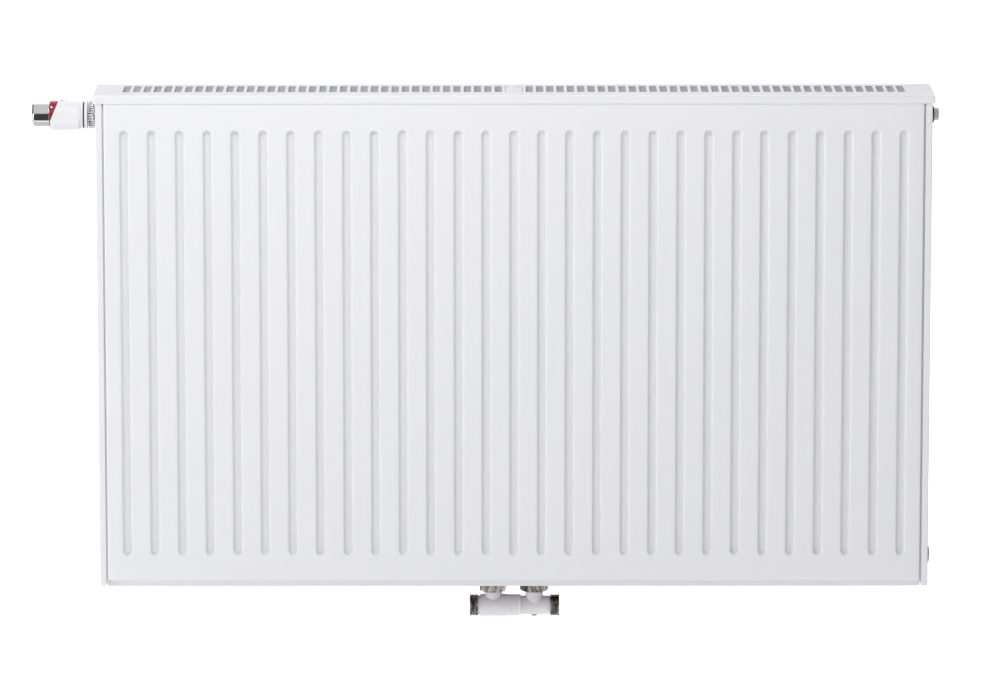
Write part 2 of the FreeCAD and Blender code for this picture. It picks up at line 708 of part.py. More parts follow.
def top_grille():
    """The slotted sheet on top, folded down all round."""
    body = new_body("top_grille")
    half, gauge, proud = size("grille_half"), size("grille_gauge"), size("grille_proud")
    front, back = FRONT_Y - proud, REAR_Y + proud
    top, lip = size("half_height"), size("grille_lip")
    block = new_sketch(body, "grille_block", "XY_Plane", top - lip)
    draw_rectangle(block, -half, front, half, back)
    solid = pad(body, block, lip)
    lowest = (top - lip).number
    round_edges(
        body, solid, size("grille_bend"), lambda edge: edge.BoundBox.ZMax > lowest + 1
    )
    hollow = new_sketch(body, "grille_hollow", "XY_Plane", top - lip)
    draw_rectangle(hollow, -half + gauge, front + gauge, half - gauge, back - gauge)
    pocket(body, hollow, lip - gauge, reverse=True)
    first = -size("slot_pitch") * (size("slot_count") - 1) / 2
    near = front + size("slot_start")
    slot = new_sketch(body, "grille_slot", "XY_Plane", top)
    wide = size("slot_width") / 2
    draw_rectangle(slot, first - wide, near, first + wide, near + size("slot_length"))
    cut = pocket(body, slot, lip)
    count = size("slot_count")
    row_pattern(body, [cut], size("slot_pitch") * (count - 1), count)
    return keep(body)


def grille_bridge():
    """A folded strap between the panels that holds the grille up."""
    body = new_body("grille_support_bridge")
    top = size("half_height") - size("grille_gauge")
    low, gauge = top - size("bridge_leg"), size("bridge_gauge")
    near, far = FRONT_INNER_Y, REAR_INNER_Y
    fold = new_sketch(body, "bridge_fold", "YZ_Plane")
    outline = [(near, low), (near, top), (far, top), (far, low), (far - gauge, low)]
    outline += [(far - gauge, top - gauge), (near + gauge, top - gauge), (near + gauge, low)]
    draw_outline(fold, outline)
    pad(body, fold, size("bridge_width"), both_ways=True)
    return keep(body)


def side_cover(label, side, upper_hole):
    """A cover folded in at front, back and foot, with holes for the fittings."""
    body = new_body(label)
    face, gauge = size("cover_face"), size("cover_gauge")
    near, far = FRONT_Y + size("cover_inset"), REAR_Y - size("cover_inset")
    lip = face - size("cover_flange")
    inside = face - gauge
    outline = [(lip, near), (face, near), (face, far), (lip, far), (lip, far - gauge)]
    outline += [(inside, far - gauge), (inside, near + gauge), (lip, near + gauge)]
    low = -size("half_height") + gauge
    fold = new_sketch(body, label + "_fold", "XY_Plane", low)
    draw_outline(fold, [(x * side, y) for x, y in outline])
    channel = pad(body, fold, size("cover_top") - low)
    edge_x = side * face.number
    round_edges(
        body,
        channel,
        size("cover_bend"),
        lambda edge: is_upright(edge) and abs(edge.BoundBox.XMin - edge_x) < TOLERANCE,
    )
    foot = new_sketch(body, label + "_foot", "XY_Plane", low)
    draw_rectangle(foot, lip * side, near + gauge, inside * side, far - gauge)
    pad(body, foot, gauge)
    for name, z, radius in [
        ("upper", PORT_Z, upper_hole),
        ("lower", -PORT_Z, size("plug_hole")),
    ]:
        hole = new_sketch(body, f"{label}_{name}_hole", "YZ_Plane", inside * side)
        draw_circle(hole, MIDDLE_Y, z, radius)
        pocket(body, hole, gauge * 4, both_ways=True)
    return keep(body)


def hanging_lug(label, side, level):
    """A welded top-hat strap with a slot, open upward and downward."""
    body = new_body(label, (size("lug_x") * side, 0, size("lug_z") * level))
    half, gauge, foot = size("lug_half"), size("lug_gauge"), size("lug_foot")
    base = -size("wall_gap")
    right = [(half - gauge, -gauge), (half - gauge, base), (half + foot, base)]
    right += [(half + foot, base + gauge), (half, base + gauge), (half, 0)]
    left = [(-x, y) for x, y in reversed(right)]
    hat = new_sketch(body, label + "_hat", "XY_Plane")
    draw_outline(hat, right + left)
    pad(body, hat, size("lug_height"), both_ways=True)
    slot = new_sketch(body, label + "_slot", "XZ_Plane")
    reach = size("lug_slot_length") / 2 - size("lug_slot_radius")
    radius = size("lug_slot_radius")
    draw_rectangle(slot, -reach, -radius, reach, radius)
    pocket(body, slot, gauge * 4, both_ways=True)
    for name, x in (("near", -reach), ("far", reach)):
        bore(
            body, f"{label}_{name}", "XZ_Plane", x, 0, radius, gauge * 4, both_ways=True
        )
    return keep(body)


# ------------------------------------------------------------ corner tees


def tee(label, z, turn, barrel, void, socket=None):
    """A barrel along X with a cross tube to both panels.

    The barrel is its inner end and radius. The void is the half outline of
    what is bored out of it. A socket is a round boss under the barrel, given
    by its place along the barrel, its radius and its depth below the axis.
    """
    body = new_body(label, (0, MIDDLE_Y, z), turn)
    face, cross = size("tee_face"), size("tee_cross")
    back, radius = barrel
    solid = new_sketch(body, label + "_barrel", "XZ_Plane")
    draw_outline(solid, [(back, 0), (face, 0), (face, radius), (back, radius)])
    revolve(body, "Revolution", solid, "H_Axis")
    tube, water = size("cross_radius"), size("cross_bore")
    boss(body, label + "_cross", "XZ_Plane", cross, 0, tube, CROSS_LENGTH, both_ways=True)
    if socket:
        place, outer, depth = socket
        boss(body, label + "_socket", "XY_Plane", place, 0, outer, depth, reverse=True)
    hollow = new_sketch(body, label + "_void", "XZ_Plane")
    draw_outline(hollow, void)
    revolve(body, "Groove", hollow, "H_Axis")
    bore(body, label + "_water", "XZ_Plane", cross, 0, water, CROSS_LENGTH, both_ways=True)
    return body


def plain_tees():
    face, bored = size("tee_face"), size("half_inch_bore")
    stop = size("tee_cross")
    barrel = (size("tee_back"), size("tee_radius"))
    void = [(stop, 0), (face, 0), (face, bored), (stop, bored)]
    for label, z, turn in [
        ("vent_tee", PORT_Z, FORWARD),
        ("lower_left_tee", -PORT_Z, TURNED),
        ("lower_right_tee", -PORT_Z, FORWARD),
    ]:
        keep(tee(label, z, turn, barrel, void))


def valve_tee():
    """The tee with the valve seat: water comes up the riser and out sideways."""
    face, seat, thick = size("tee_face"), size("seat_face"), size("seat_thick")
    wide, hole = size("half_inch_bore"), size("seat_bore")
    back, port = size("valve_tee_back"), size("riser_port")
    void = [(back + thick, 0), (back + thick, wide), (seat - thick, wide)]
    void += [(seat - thick, hole), (seat, hole), (seat, wide), (face, wide), (face, 0)]
    barrel = (back, size("valve_tee_radius"))
    depth = size("socket_depth")
    socket = (port, size("riser_socket"), depth)
    body = tee("valve_tee", PORT_Z, TURNED, barrel, void, socket)
    snug = size("riser_radius") + FIT * 2
    bore(body, "valve_tee_riser_port", "XY_Plane", port, 0, snug, depth)
    return keep(body)


# ------------------------------------------- thermostatic valve and head

VALVE = (0, MIDDLE_Y, PORT_Z)


def valve_insert():
    """The brass insert with the M30 thread."""
    tee_face, slide = size("tee_face"), size("stem_radius") + FIT
    face, depth = tee_face + size("gasket_thick"), size("insert_depth")
    stud, rim = size("half_inch_stud"), size("insert_flange")
    step, thread = face + size("flange_width"), size("insert_thread")
    end, chamber = size("nut_start") + size("insert_reach"), size("chamber_radius")
    floor = tee_face - size("chamber_depth")
    middle, half = floor - size("stem_seal_setback"), size("stem_groove_half")
    groove = size("stem_groove")
    outline = [(face - depth, slide), (face - depth, stud), (face, stud), (face, rim)]
    outline += [(step, rim), (step, thread), (end, thread), (end, chamber)]
    outline += [(floor, chamber), (floor, slide), (middle + half, slide)]
    outline += [(middle + half, groove), (middle - half, groove), (middle - half, slide)]
    keep(turned_piece("valve_insert", outline, VALVE, TURNED))
    thick = size("stem_seal_half")
    keep(seal_ring("stem_seal", VALVE, TURNED, middle, slide, thick))


def valve_gland():
    """The gland that closes the insert's spring chamber."""
    end, hole = size("nut_start") + size("insert_reach"), size("gland_hole")
    start, snug = end - size("gland_thick"), size("chamber_radius") - FIT
    outline = [(start, hole), (end, hole), (end, snug), (start, snug)]
    keep(turned_piece("valve_gland", outline, VALVE, TURNED))


def seal_ring(label, place, turn, station, inside, thick, axis="H_Axis"):
    """An O-ring, given by its inner radius and its half thickness."""
    body = new_body(label, place, turn)
    sketch = new_sketch(body, label + "_section", "XZ_Plane")
    centre = inside + thick
    if axis == "H_Axis":
        draw_circle(sketch, station, centre, thick)
    else:
        draw_circle(sketch, centre, station, thick)
    revolve(body, "Revolution", sketch, axis)
    return body


def valve_stem():
    """The stem with its rubber disc, which closes towards the seat."""
    disc = size("seat_face") + size("disc_gap")
    plate = disc + size("disc_thick")
    slim, shaft, pin = size("disc_bore"), size("stem_radius"), size("stem_pin")
    rivet, head = disc - size("rivet_thick"), size("rivet_radius")
    washer, thick = size("washer_radius"), size("washer_thick")
    collar, wide = size("tee_face") + size("collar_rise"), size("stem_collar")
    end = size("nut_start") + size("stem_reach")
    outline = [(rivet, 0), (rivet, head), (disc, head), (disc, slim), (plate, slim)]
    outline += [(plate, washer), (plate + thick, washer), (plate + thick, shaft)]
    outline += [(collar, shaft), (collar, wide), (collar + thick, wide)]
    outline += [(collar + thick, pin), (end, pin), (end, 0)]
    keep(turned_piece("valve_stem", outline, VALVE, TURNED))

    edge = size("disc_radius")
    rubber = [(disc, slim), (plate, slim), (plate, edge), (disc, edge)]
    keep(turned_piece("valve_disc", rubber, VALVE, TURNED))


def valve_spring():
    """The spring that lifts the disc off its seat."""
    clear = size("spring_wire") + size("spring_gap")
    start = size("tee_face") - size("chamber_depth") + clear
    end = size("tee_face") + size("collar_rise") - clear
    helix = doc.addObject("Part::Helix", "spring_path")
    bind(helix, "Radius", size("spring_radius"))
    bind(helix, "Pitch", (end - start) / size("spring_coils"))
    bind(helix, "Height", end - start)
    wire = doc.addObject("Part::Circle", "spring_wire_section")
    bind(wire, "Radius", size("spring_wire"))
    bind(wire, "Placement.Base.x", size("spring_radius"))
    along = FreeCAD.Rotation(FreeCAD.Vector(1, 0, 0), 90)
    wire.Placement = FreeCAD.Placement(
        FreeCAD.Vector(size("spring_radius").number, 0, 0), along
    )
    doc.recompute()
    spring = doc.addObject("Part::Sweep", "valve_spring")
    spring.Label = "valve_spring"
    spring.Sections = [wire]
    spring.Spine = (helix, ["Edge1"])
    spring.Solid = True
    spring.Frenet = True
    outward = FreeCAD.Rotation(FreeCAD.Vector(0, 1, 0), -90)
    spring.Placement = FreeCAD.Placement(
        FreeCAD.Vector(-start.number, MIDDLE_Y.number, PORT_Z.number), outward
    )
    doc.recompute()
    return keep(spring)


def head_union_nut():
    """The knurled nut that holds the head on the insert's thread."""
    start, end, radius = size("nut_start"), size("nut_end"), size("nut_radius")
    thread, eye = size("insert_thread") + size("thread_fit"), size("nut_eye")
    lip, bevel = end - size("nut_lip"), size("nut_bevel")
    outline = [(start, thread), (start, radius - bevel), (start + bevel, radius)]
    outline += [(end - bevel, radius), (end, radius - bevel), (end, eye)]
    outline += [(lip, eye), (lip, thread)]
    body = turned_piece("head_union_nut", outline, VALVE, TURNED)
    notch = new_sketch(body, "nut_notch", "YZ_Plane", start)
    half, outside = size("knurl_half"), radius + OVERCUT
    draw_outline(notch, [(-half, outside), (0, radius - size("knurl_depth")), (half, outside)])
    cut = pocket(body, notch, end - start, reverse=True)
    ring_pattern(body, [cut], "N_Axis", size("knurl_count"))
    return keep(body)


def head_base():
    """The white base: held by the union nut, it carries sleeve and bearing."""
    start, flange, neck = size("base_start"), size("base_flange"), size("base_neck")
    lip = size("nut_end") - size("nut_lip") - FIT
    ring, valley = size("ring_radius"), size("ring_radius") - size("ring_depth")
    rim = size("sleeve_start") - size("ring_width")
    groove, step = rim - size("ring_width"), rim - size("ring_width") * 2
    seat, seat_end = size("seat_radius"), rim + size("seat_length")
    bearing, end = size("bearing_radius"), size("bearing_end")
    inside, floor = bearing - size("base_wall"), rim + size("base_floor")
    guide = size("guide_radius")
    outline = [(start, guide), (start, flange), (lip, flange), (lip, neck)]
    outline += [(size("ring_start"), neck), (size("ring_start"), ring), (step, ring)]
    outline += [(step, valley), (groove, valley), (groove, ring), (rim, ring)]
    outline += [(rim, seat), (seat_end, seat), (seat_end, bearing), (end, bearing)]
    outline += [(end, inside), (floor, inside), (floor, guide)]
    return keep(turned_piece("head_base", outline, VALVE, TURNED))


def head_sleeve():
    """The white sleeve, its far end cut off at a slant to show the ring."""
    start, end = size("sleeve_start"), size("sleeve_end")
    small, large = size("sleeve_small"), size("sleeve_large")
    snug, shoulder = size("seat_radius") + FIT, start + size("sleeve_shoulder")
    outline = [(start, snug), (start, small), (end, large)]
    outline += [(end, large - size("sleeve_wall")), (shoulder, size("sleeve_bore"))]
    outline += [(shoulder, snug)]
    body = turned_piece("head_sleeve", outline, VALVE, TURNED)
    top, low = size("window_top"), -size("window_low")
    lean, reach = (end - top) / (large - low), size("slant_reach")
    slant = new_sketch(body, "sleeve_slant", "XZ_Plane")
    corner = [(top + lean * (large - reach), reach)]
    corner += [(end + lean * reach, low - reach), (end + lean * reach, reach)]
    draw_outline(slant, corner)
    pocket(body, slant, large * 3, both_ways=True)
    return keep(body)


def setting_knob():
    """The red setting ring on its bearing, and the chrome cap on the ring."""
    start, end = size("setting_start"), size("cap_start")
    outer, inner = size("setting_radius"), size("bearing_radius") + FIT
    web, throat = size("setting_web"), size("setting_throat")
    wall, tip = size("cap_wall"), end + size("setting_spigot")
    spigot = size("cap_radius") - wall
    outline = [(start, inner), (start, outer), (end, outer), (end, spigot)]
    outline += [(tip, spigot), (tip, throat), (web, throat), (web, inner)]
    keep(turned_piece("setting_ring", outline, VALVE, TURNED))

    far, radius, bevel = size("cap_end"), size("cap_radius"), size("cap_bevel")
    cap = [(end, radius - wall), (end, radius), (far - bevel, radius), (far, radius - bevel)]
    cap += [(far, 0), (far - wall, 0), (far - wall, radius - bevel - wall / 2)]
    cap += [(far - bevel - wall / 2, radius - wall)]
    keep(turned_piece("end_cap", cap, VALVE, TURNED))


def head_sensor():
    """The sensor cartridge and the pin with which it pushes the stem."""
    touch, start = size("nut_start") + size("stem_reach"), size("sensor_start")
    shaft, bevel = size("pressure_radius"), size("pressure_bevel")
    pin = [(touch, 0), (touch, shaft - bevel), (touch + bevel, shaft), (start, shaft)]
    keep(turned_piece("pressure_pin", pin + [(start, 0)], VALVE, TURNED))
    end, radius, far_bevel = size("sensor_end"), size("sensor_radius"), size("sensor_bevel")
    capsule = [(start, 0), (start, radius - bevel), (start + bevel, radius)]
    capsule += [(end - far_bevel, radius), (end, radius - far_bevel), (end, 0)]
    keep(turned_piece("sensor_cartridge", capsule, VALVE, TURNED))


# ------------------------------------------------- vent and blind plugs


def tapping_gaskets():
    """The flat gaskets between the tees and what is screwed into them."""
    face, thick = size("tee_face"), size("gasket_thick")
    inner, outer = size("half_inch_stud") + size("thread_fit"), size("gasket_radius")
    outline = [(face, inner), (face, outer), (face + thick, outer), (face + thick, inner)]
    rings = []
    for name, z, turn in [
        ("valve_gasket", PORT_Z, TURNED),
        ("vent_gasket", PORT_Z, FORWARD),
        ("lower_left_gasket", -PORT_Z, TURNED),
        ("lower_right_gasket", -PORT_Z, FORWARD),
    ]:
        rings.append(turned_piece(name, outline, (0, MIDDLE_Y, z), turn))
    return keep(group("tapping_gaskets", rings))


VENT = (0, MIDDLE_Y, PORT_Z)


def vent_plug():
    """The plug that carries the vent, and the dark ring on its barrel."""
    face, barrel_end = size("tee_face") + size("gasket_thick"), size("barrel_end")
    stud, barrel, rim = size("half_inch_stud"), size("barrel_radius"), size("vent_flange")
    start, step = face - size("vent_depth"), face + size("flange_width")
    channel, spigot = size("screw_radius") + FIT, size("spigot_radius")
    tip = size("spigot_end")
    outline = [(start, channel), (start, stud), (face, stud), (face, rim), (step, rim)]
    outline += [(step, barrel), (barrel_end, barrel), (barrel_end, spigot)]
    outline += [(tip, spigot), (tip, channel)]
    keep(turned_piece("vent_plug", outline, VENT))

    ring_end, ring = barrel_end + size("vent_ring"), size("plug_radius")
    hole = size("vent_ring_bore")
    band = [(barrel_end, hole), (barrel_end, ring), (ring_end, ring), (ring_end, hole)]
    keep(turned_piece("vent_seal", band, VENT))


def vent_nozzle():
    """The hexagonal nozzle that turns to point its spout."""
    start = size("barrel_end") + size("vent_ring") + size("nozzle_gap")
    end, flats = size("nozzle_end"), size("nozzle_flats")
    body = new_body("vent_nozzle", VENT)
    hexagon = new_sketch(body, "nozzle_hexagon", "YZ_Plane", start)
    draw_polygon(hexagon, 0, 0, flats, 6, turn=30)
    pad(body, hexagon, end - start)
    seat, eye = size("spigot_radius") + FIT, size("nozzle_eye")
    deep = size("spigot_end") + size("nozzle_play") - start
    bore(body, "nozzle_seat", "YZ_Plane", 0, 0, seat, deep, start, reverse=True)
    bore(body, "nozzle_eye", "YZ_Plane", 0, 0, eye, end - start, start, reverse=True)
    spout = size("spout_place")
    bore(body, "nozzle_spout", "XY_Plane", spout, 0, size("spout_radius"), flats)
    return keep(body)


def vent_screw():
    """The screw that opens the vent, turned by its square."""
    start, radius = size("screw_start"), size("screw_radius")
    head, end = size("square_start"), size("square_end")
    outline = [(start, 0), (start + size("screw_point"), radius), (head, radius), (head, 0)]
    body = turned_piece("vent_screw", outline, VENT)
    square = new_sketch(body, "screw_square", "YZ_Plane", head)
    draw_polygon(square, 0, 0, size("screw_square"), 4, turn=45)
    pad(body, square, end - head)
    return keep(body)


def blind_plug(label, turn, end):
    """A blind plug with a hexagon key socket in its head."""
    face, stud = size("tee_face") + size("gasket_thick"), size("half_inch_stud")
    start, step = face - size("plug_depth"), face + size("flange_width")
    head, rim, bevel = size("plug_radius"), size("plug_flange"), size("plug_bevel")
    outline = [(start, 0), (start, stud), (face, stud), (face, rim), (step, rim)]
    outline += [(step, head), (end - bevel, head), (end, head - bevel), (end, 0)]
    body = turned_piece(label, outline, (0, MIDDLE_Y, -PORT_Z), turn)
    key = new_sketch(body, label + "_key", "YZ_Plane", end)
    draw_polygon(key, 0, 0, size("plug_key"), 6)
    pocket(body, key, size("plug_key_depth"))
    return keep(body)


# -------------------------------------- manifold, riser and connections


def centre_manifold():
    """The block between the panels: the flow goes up, the return comes in."""
    body = new_body("centre_manifold", (0, MIDDLE_Y, 0))
    half, deep = size("manifold_half"), size("manifold_half_depth")
    low, top = -size("manifold_low"), -size("manifold_top")
    branch, z = size("branch"), -size("return_z")
    block = new_sketch(body, "manifold_block", "XY_Plane", low)
    draw_rectangle(block, -half, -deep, half, deep)
    pad(body, block, top - low)
    tube, water = size("manifold_cross"), size("cross_bore")
    through = {"length": CROSS_LENGTH, "both_ways": True}
    boss(body, "manifold_cross", "XZ_Plane", branch, z, tube, **through)
    bore(body, "manifold_water", "XZ_Plane", branch, z, water, **through)
    wide, deep = size("manifold_socket"), size("socket_drill")
    for name, x in (("flow", -branch), ("return", branch)):
        bore(body, f"manifold_{name}", "XY_Plane", x, 0, wide, deep, low, reverse=True)
    snug = size("riser_radius") + FIT * 2
    bore(body, "manifold_riser", "XY_Plane", -branch, 0, snug, top - low, top)
    return keep(body)


def riser_pipe():
    """The pipe that carries the flow up to the valve in the upper corner."""
    body = new_body("riser_pipe", (0, MIDDLE_Y, 0))
    x1, x2 = -size("branch"), -size("riser_port")
    bend, run = size("riser_bend"), -size("riser_run")
    start, end = -size("riser_low"), size("riser_high")
    points = [(x1, start), (x1, run - bend), (x1 - bend, run)]
    points += [(x2 + bend, run), (x2, run + bend), (x2, end)]
    spots = [FreeCAD.Vector(as_size(x).number, as_size(z).number, 0) for x, z in points]
    elbow = bend.number
    low_centre = FreeCAD.Vector((x1 - bend).number, (run - bend).number, 0)
    high_centre = FreeCAD.Vector((x2 + bend).number, (run + bend).number, 0)
    up = FreeCAD.Vector(0, 0, 1)
    route = new_sketch(body, "riser_route", "XZ_Plane")
    quarter = math.pi / 2
    route.addGeometry(Part.LineSegment(spots[0], spots[1]), False)
    route.addGeometry(
        Part.ArcOfCircle(Part.Circle(low_centre, up, elbow), 0, quarter), False
    )
    route.addGeometry(Part.LineSegment(spots[2], spots[3]), False)
    route.addGeometry(
        Part.ArcOfCircle(Part.Circle(high_centre, up, elbow), 2 * quarter, 3 * quarter),
        False,
    )
    route.addGeometry(Part.LineSegment(spots[4], spots[5]), False)
    for a, a_end, b, b_end in [(0, 2, 1, 1), (1, 2, 2, 1), (2, 2, 3, 2), (3, 1, 4, 1)]:
        route.addConstraint(Sketcher.Constraint("Tangent", a, a_end, b, b_end))
    pin_point(route, 0, 1, points[0])
    pin_point(route, 4, 2, points[5])
    pin_point(route, 1, 3, (x1 - bend, run - bend))
    pin_point(route, 3, 3, (x2 + bend, run + bend))
    section = new_sketch(body, "riser_section", "XY_Plane", start)
    draw_circle(section, x1, 0, size("riser_radius"))
    draw_circle(section, x1, 0, size("riser_bore"))
    doc.recompute()
    pipe = body.newObject("PartDesign::AdditivePipe", "riser_tube")
    pipe.Profile = section
    pipe.Spine = (route, [f"Edge{k}" for k in range(1, 6)])
    doc.recompute()
    return keep(body)


def nipple(name, x):
    """The nipple that leads down from the manifold."""
    low, block = -size("nipple_low"), -size("manifold_low")
    thread, stud, water = size("nipple_thread"), size("nipple_stud"), size("riser_bore")
    shoulder, relief = block - size("nipple_shoulder"), thread - size("nipple_relief")
    top = block + size("nipple_reach")
    outline = [(water, low), (thread, low), (thread, shoulder), (relief, shoulder)]
    outline += [(relief, block), (stud, block), (stud, top), (water, top)]
    place = (x, MIDDLE_Y, 0)
    return keep(turned_piece(f"{name}_nipple", outline, place, axis="V_Axis"))


def union_nut(name, x, turn):
    """The nut that draws the block's neck up onto a nipple."""
    body = new_body(f"{name}_union_nut", (x, MIDDLE_Y, 0))
    bottom, height = -size("union_low"), size("union_height")
    flats, thread = size("union_flats"), size("nipple_thread") + size("thread_fit")
    hexagon = new_sketch(body, f"{name}_nut_hexagon", "XY_Plane", bottom)
    draw_polygon(hexagon, 0, 0, flats, 6, turn=turn)
    pad(body, hexagon, height)
    eye, sketch_name = size("union_eye"), f"{name}_nut_eye"
    bore(body, sketch_name, "XY_Plane", 0, 0, eye, height, bottom, reverse=True)
    shelf, sketch_name = union_shelf(), f"{name}_nut_thread"
    bore(body, sketch_name, "XY_Plane", 0, 0, thread, height, shelf, reverse=True)
    bevel = new_sketch(body, f"{name}_nut_bevel", "XZ_Plane")
    corner, rim = flats / (2 * math.cos(math.pi / 6)) + OVERCUT, size("union_rim")
    slope = size("union_bevel")
    draw_outline(bevel, [(rim, bottom), (corner, bottom), (corner, bottom + slope)])
    revolve(body, "Groove", bevel, "V_Axis")
    return keep(body)


def union_shelf():
    """The height at which a neck's flange rests inside its union nut."""
    return -size("nipple_low") - size("seal_thick") - size("flange_thick")


def union_seals():
    """The flat seals between the nipples and the block's necks."""
    top = -size("nipple_low")
    low, inner, outer = top - size("seal_thick"), size("seal_inner"), size("seal_outer")
    outline = [(inner, low), (outer, low), (outer, top), (inner, top)]
    rings = []
    for name, x in (("flow", -size("branch")), ("return", size("branch"))):
        place = (x, MIDDLE_Y, 0)
        rings.append(turned_piece(f"{name}_seal", outline, place, axis="V_Axis"))
    return keep(group("union_seals", rings))


# ---------------------------------------------------------- shut-off block


def block_half(label, side, radius, start, stop, lip, lip_radius):
    """Half of the block: a barrel along X with a neck up to its union nut.

    Start and stop are the seam and the outer end, measured from the centre.
    """
    body = new_body(label, (0, MIDDLE_Y, BLOCK_Z))
    seam, stub, branch = size("seam_gap"), size("stub_radius"), size("branch")
    barrel = [(seam, 0), (seam, stub), (start, stub), (start, radius), (stop, radius)]
    barrel += [(stop, lip_radius), (lip, lip_radius), (lip, 0)]
    sketch = new_sketch(body, label + "_barrel", "XZ_Plane")
    draw_outline(sketch, [(x * side, z) for x, z in barrel])
    revolve(body, "Revolution", sketch, "H_Axis")
    rise = size("block_z") - size("nipple_low") - size("seal_thick")
    neck = boss(
        body, label + "_neck", "XY_Plane", branch * side, 0, size("neck_radius"), rise
    )
    round_edges(
        body, neck, size("saddle_radius"), lambda edge: is_saddle(edge, radius.number)
    )
    disc = new_sketch(body, label + "_flange", "XY_Plane", rise - size("flange_thick"))
    draw_circle(disc, branch * side, 0, size("neck_flange"))
    pad(body, disc, size("flange_thick"))
    bore_block_half(body, label, side, lip, rise)
    return keep(body)


def is_saddle(edge, radius):
    """True for the curve where a neck meets a barrel of that radius."""
    box = edge.BoundBox
    curved = box.ZLength > 1 and box.YLength > 5 and box.XLength > 5
    return curved and box.ZMin > 0 and box.ZMax < radius + 0.5


def bore_block_half(body, label, side, lip, rise):
    """Bores the water way, the shut-off plug's chamber and its spindle hole."""
    branch, narrow = size("branch"), size("water_bore") - size("tail_step")
    socket = size("pipe_thread") - size("tail_wall") + size("thread_fit")
    end = lip - size("shank_depth") - size("shank_gap")
    way = new_sketch(body, label + "_way", "XZ_Plane")
    outline = [(branch, 0), (branch, narrow), (end, narrow), (end, socket)]
    outline += [(lip, socket), (lip, 0)]
    draw_outline(way, [(x * side, z) for x, z in outline])
    revolve(body, "Groove", way, "H_Axis")
    x, bottom = branch * side, -size("cock_floor")
    cock, height = size("cock_radius") + FIT, rise - bottom + OVERCUT
    bore(body, label + "_chamber", "XY_Plane", x, 0, cock, height, bottom, reverse=True)
    hole = size("spindle_radius") + FIT
    bore(body, label + "_spindle", "XY_Plane", x, 0, hole, size("spindle_drill"))


def block_collar():
    """The white ring that covers the joint between the two halves."""
    inner, outer = size("stub_radius") + FIT, size("collar_radius")
    left, right = -size("shell_stop"), size("body_start")
    bevel, slope = size("collar_bevel"), size("collar_slope")
    outline = [(left, inner), (left, outer - bevel), (left + bevel, outer)]
    outline += [(right - slope, outer), (right, outer - slope), (right, inner)]
    place = (0, MIDDLE_Y, BLOCK_Z)
    return keep(turned_piece("block_collar", outline, place))


def pipe_connector(label, side, lip, end):
    """A tail whose G3/4 thread takes the compression fitting of a pipe."""
    thread, water, bevel = size("pipe_thread"), size("water_bore"), size("tail_bevel")
    shank, foot = thread - size("tail_wall"), lip - size("shank_depth")
    narrow, mouth = water - size("tail_step"), size("tail_mouth")
    outline = [(foot, narrow), (foot, shank), (lip, shank), (lip, thread - bevel)]
    outline += [(lip + bevel, thread), (end - bevel, thread), (end, thread - bevel)]
    outline += [(end, water + mouth), (end - mouth, water), (lip, water)]
    outline += [(lip - size("tail_relief"), narrow)]
    place = (0, MIDDLE_Y, BLOCK_Z)
    return keep(turned_piece(label, [(x * side, r) for x, r in outline], place))


def shutoff_plug(label, side):
    """A plug cock: a port from the pipe's side up into the neck."""
    place = (size("branch") * side, MIDDLE_Y, BLOCK_Z)
    body = new_body(label, place)
    radius, spindle = size("cock_radius"), size("spindle_radius")
    low, top = size("cock_gap") - size("cock_floor"), size("cock_top")
    tip, deep = size("block_z") - size("spindle_low"), radius - size("cock_groove_depth")
    groove, half = low + size("cock_groove"), size("cock_groove_half")
    outline = [(0, tip), (spindle, tip), (spindle, low), (radius, low)]
    outline += [(radius, groove - half), (deep, groove - half), (deep, groove + half)]
    outline += [(radius, groove + half), (radius, top), (0, top)]
    sketch = new_sketch(body, label + "_outline", "XZ_Plane")
    draw_outline(sketch, outline)
    revolve(body, "Revolution", sketch, "V_Axis")
    port, out = size("cock_port"), radius + OVERCUT
    bore(body, label + "_up", "XY_Plane", 0, 0, port, top + OVERCUT, reverse=True)
    bore(body, label + "_out", "YZ_Plane", 0, 0, port, out, reverse=side > 0)
    key = new_sketch(body, label + "_key", "XY_Plane", tip)
    draw_polygon(key, 0, 0, size("cock_key"), 6)
    pocket(body, key, size("cock_key_depth"), reverse=True)
    keep(body)
    thick = size("cock_seal_half")
    keep(seal_ring(f"{label}_seal", place, FORWARD, groove, deep, thick, axis="V_Axis"))


def shutoff_block():
    left_lip, right_lip = size("left_lip"), size("right_lip")
    block_half(
        "block_left_half", -1, size("shell_radius"), size("shell_stop"),
        size("shell_start"), left_lip, size("left_lip_radius"),
    )
    block_half(
        "block_right_half", 1, size("body_radius"), size("body_start"),
        size("body_stop"), right_lip, size("right_lip_radius"),
    )
    block_collar()
    pipe_connector("left_pipe_connector", -1, left_lip, size("left_pipe_end"))
    pipe_connector("right_pipe_connector", 1, right_lip, size("right_pipe_end"))
    shutoff_plug("left_shutoff_plug", -1)
    shutoff_plug("right_shutoff_plug", 1)


# ------------------------------------------------------------ the product


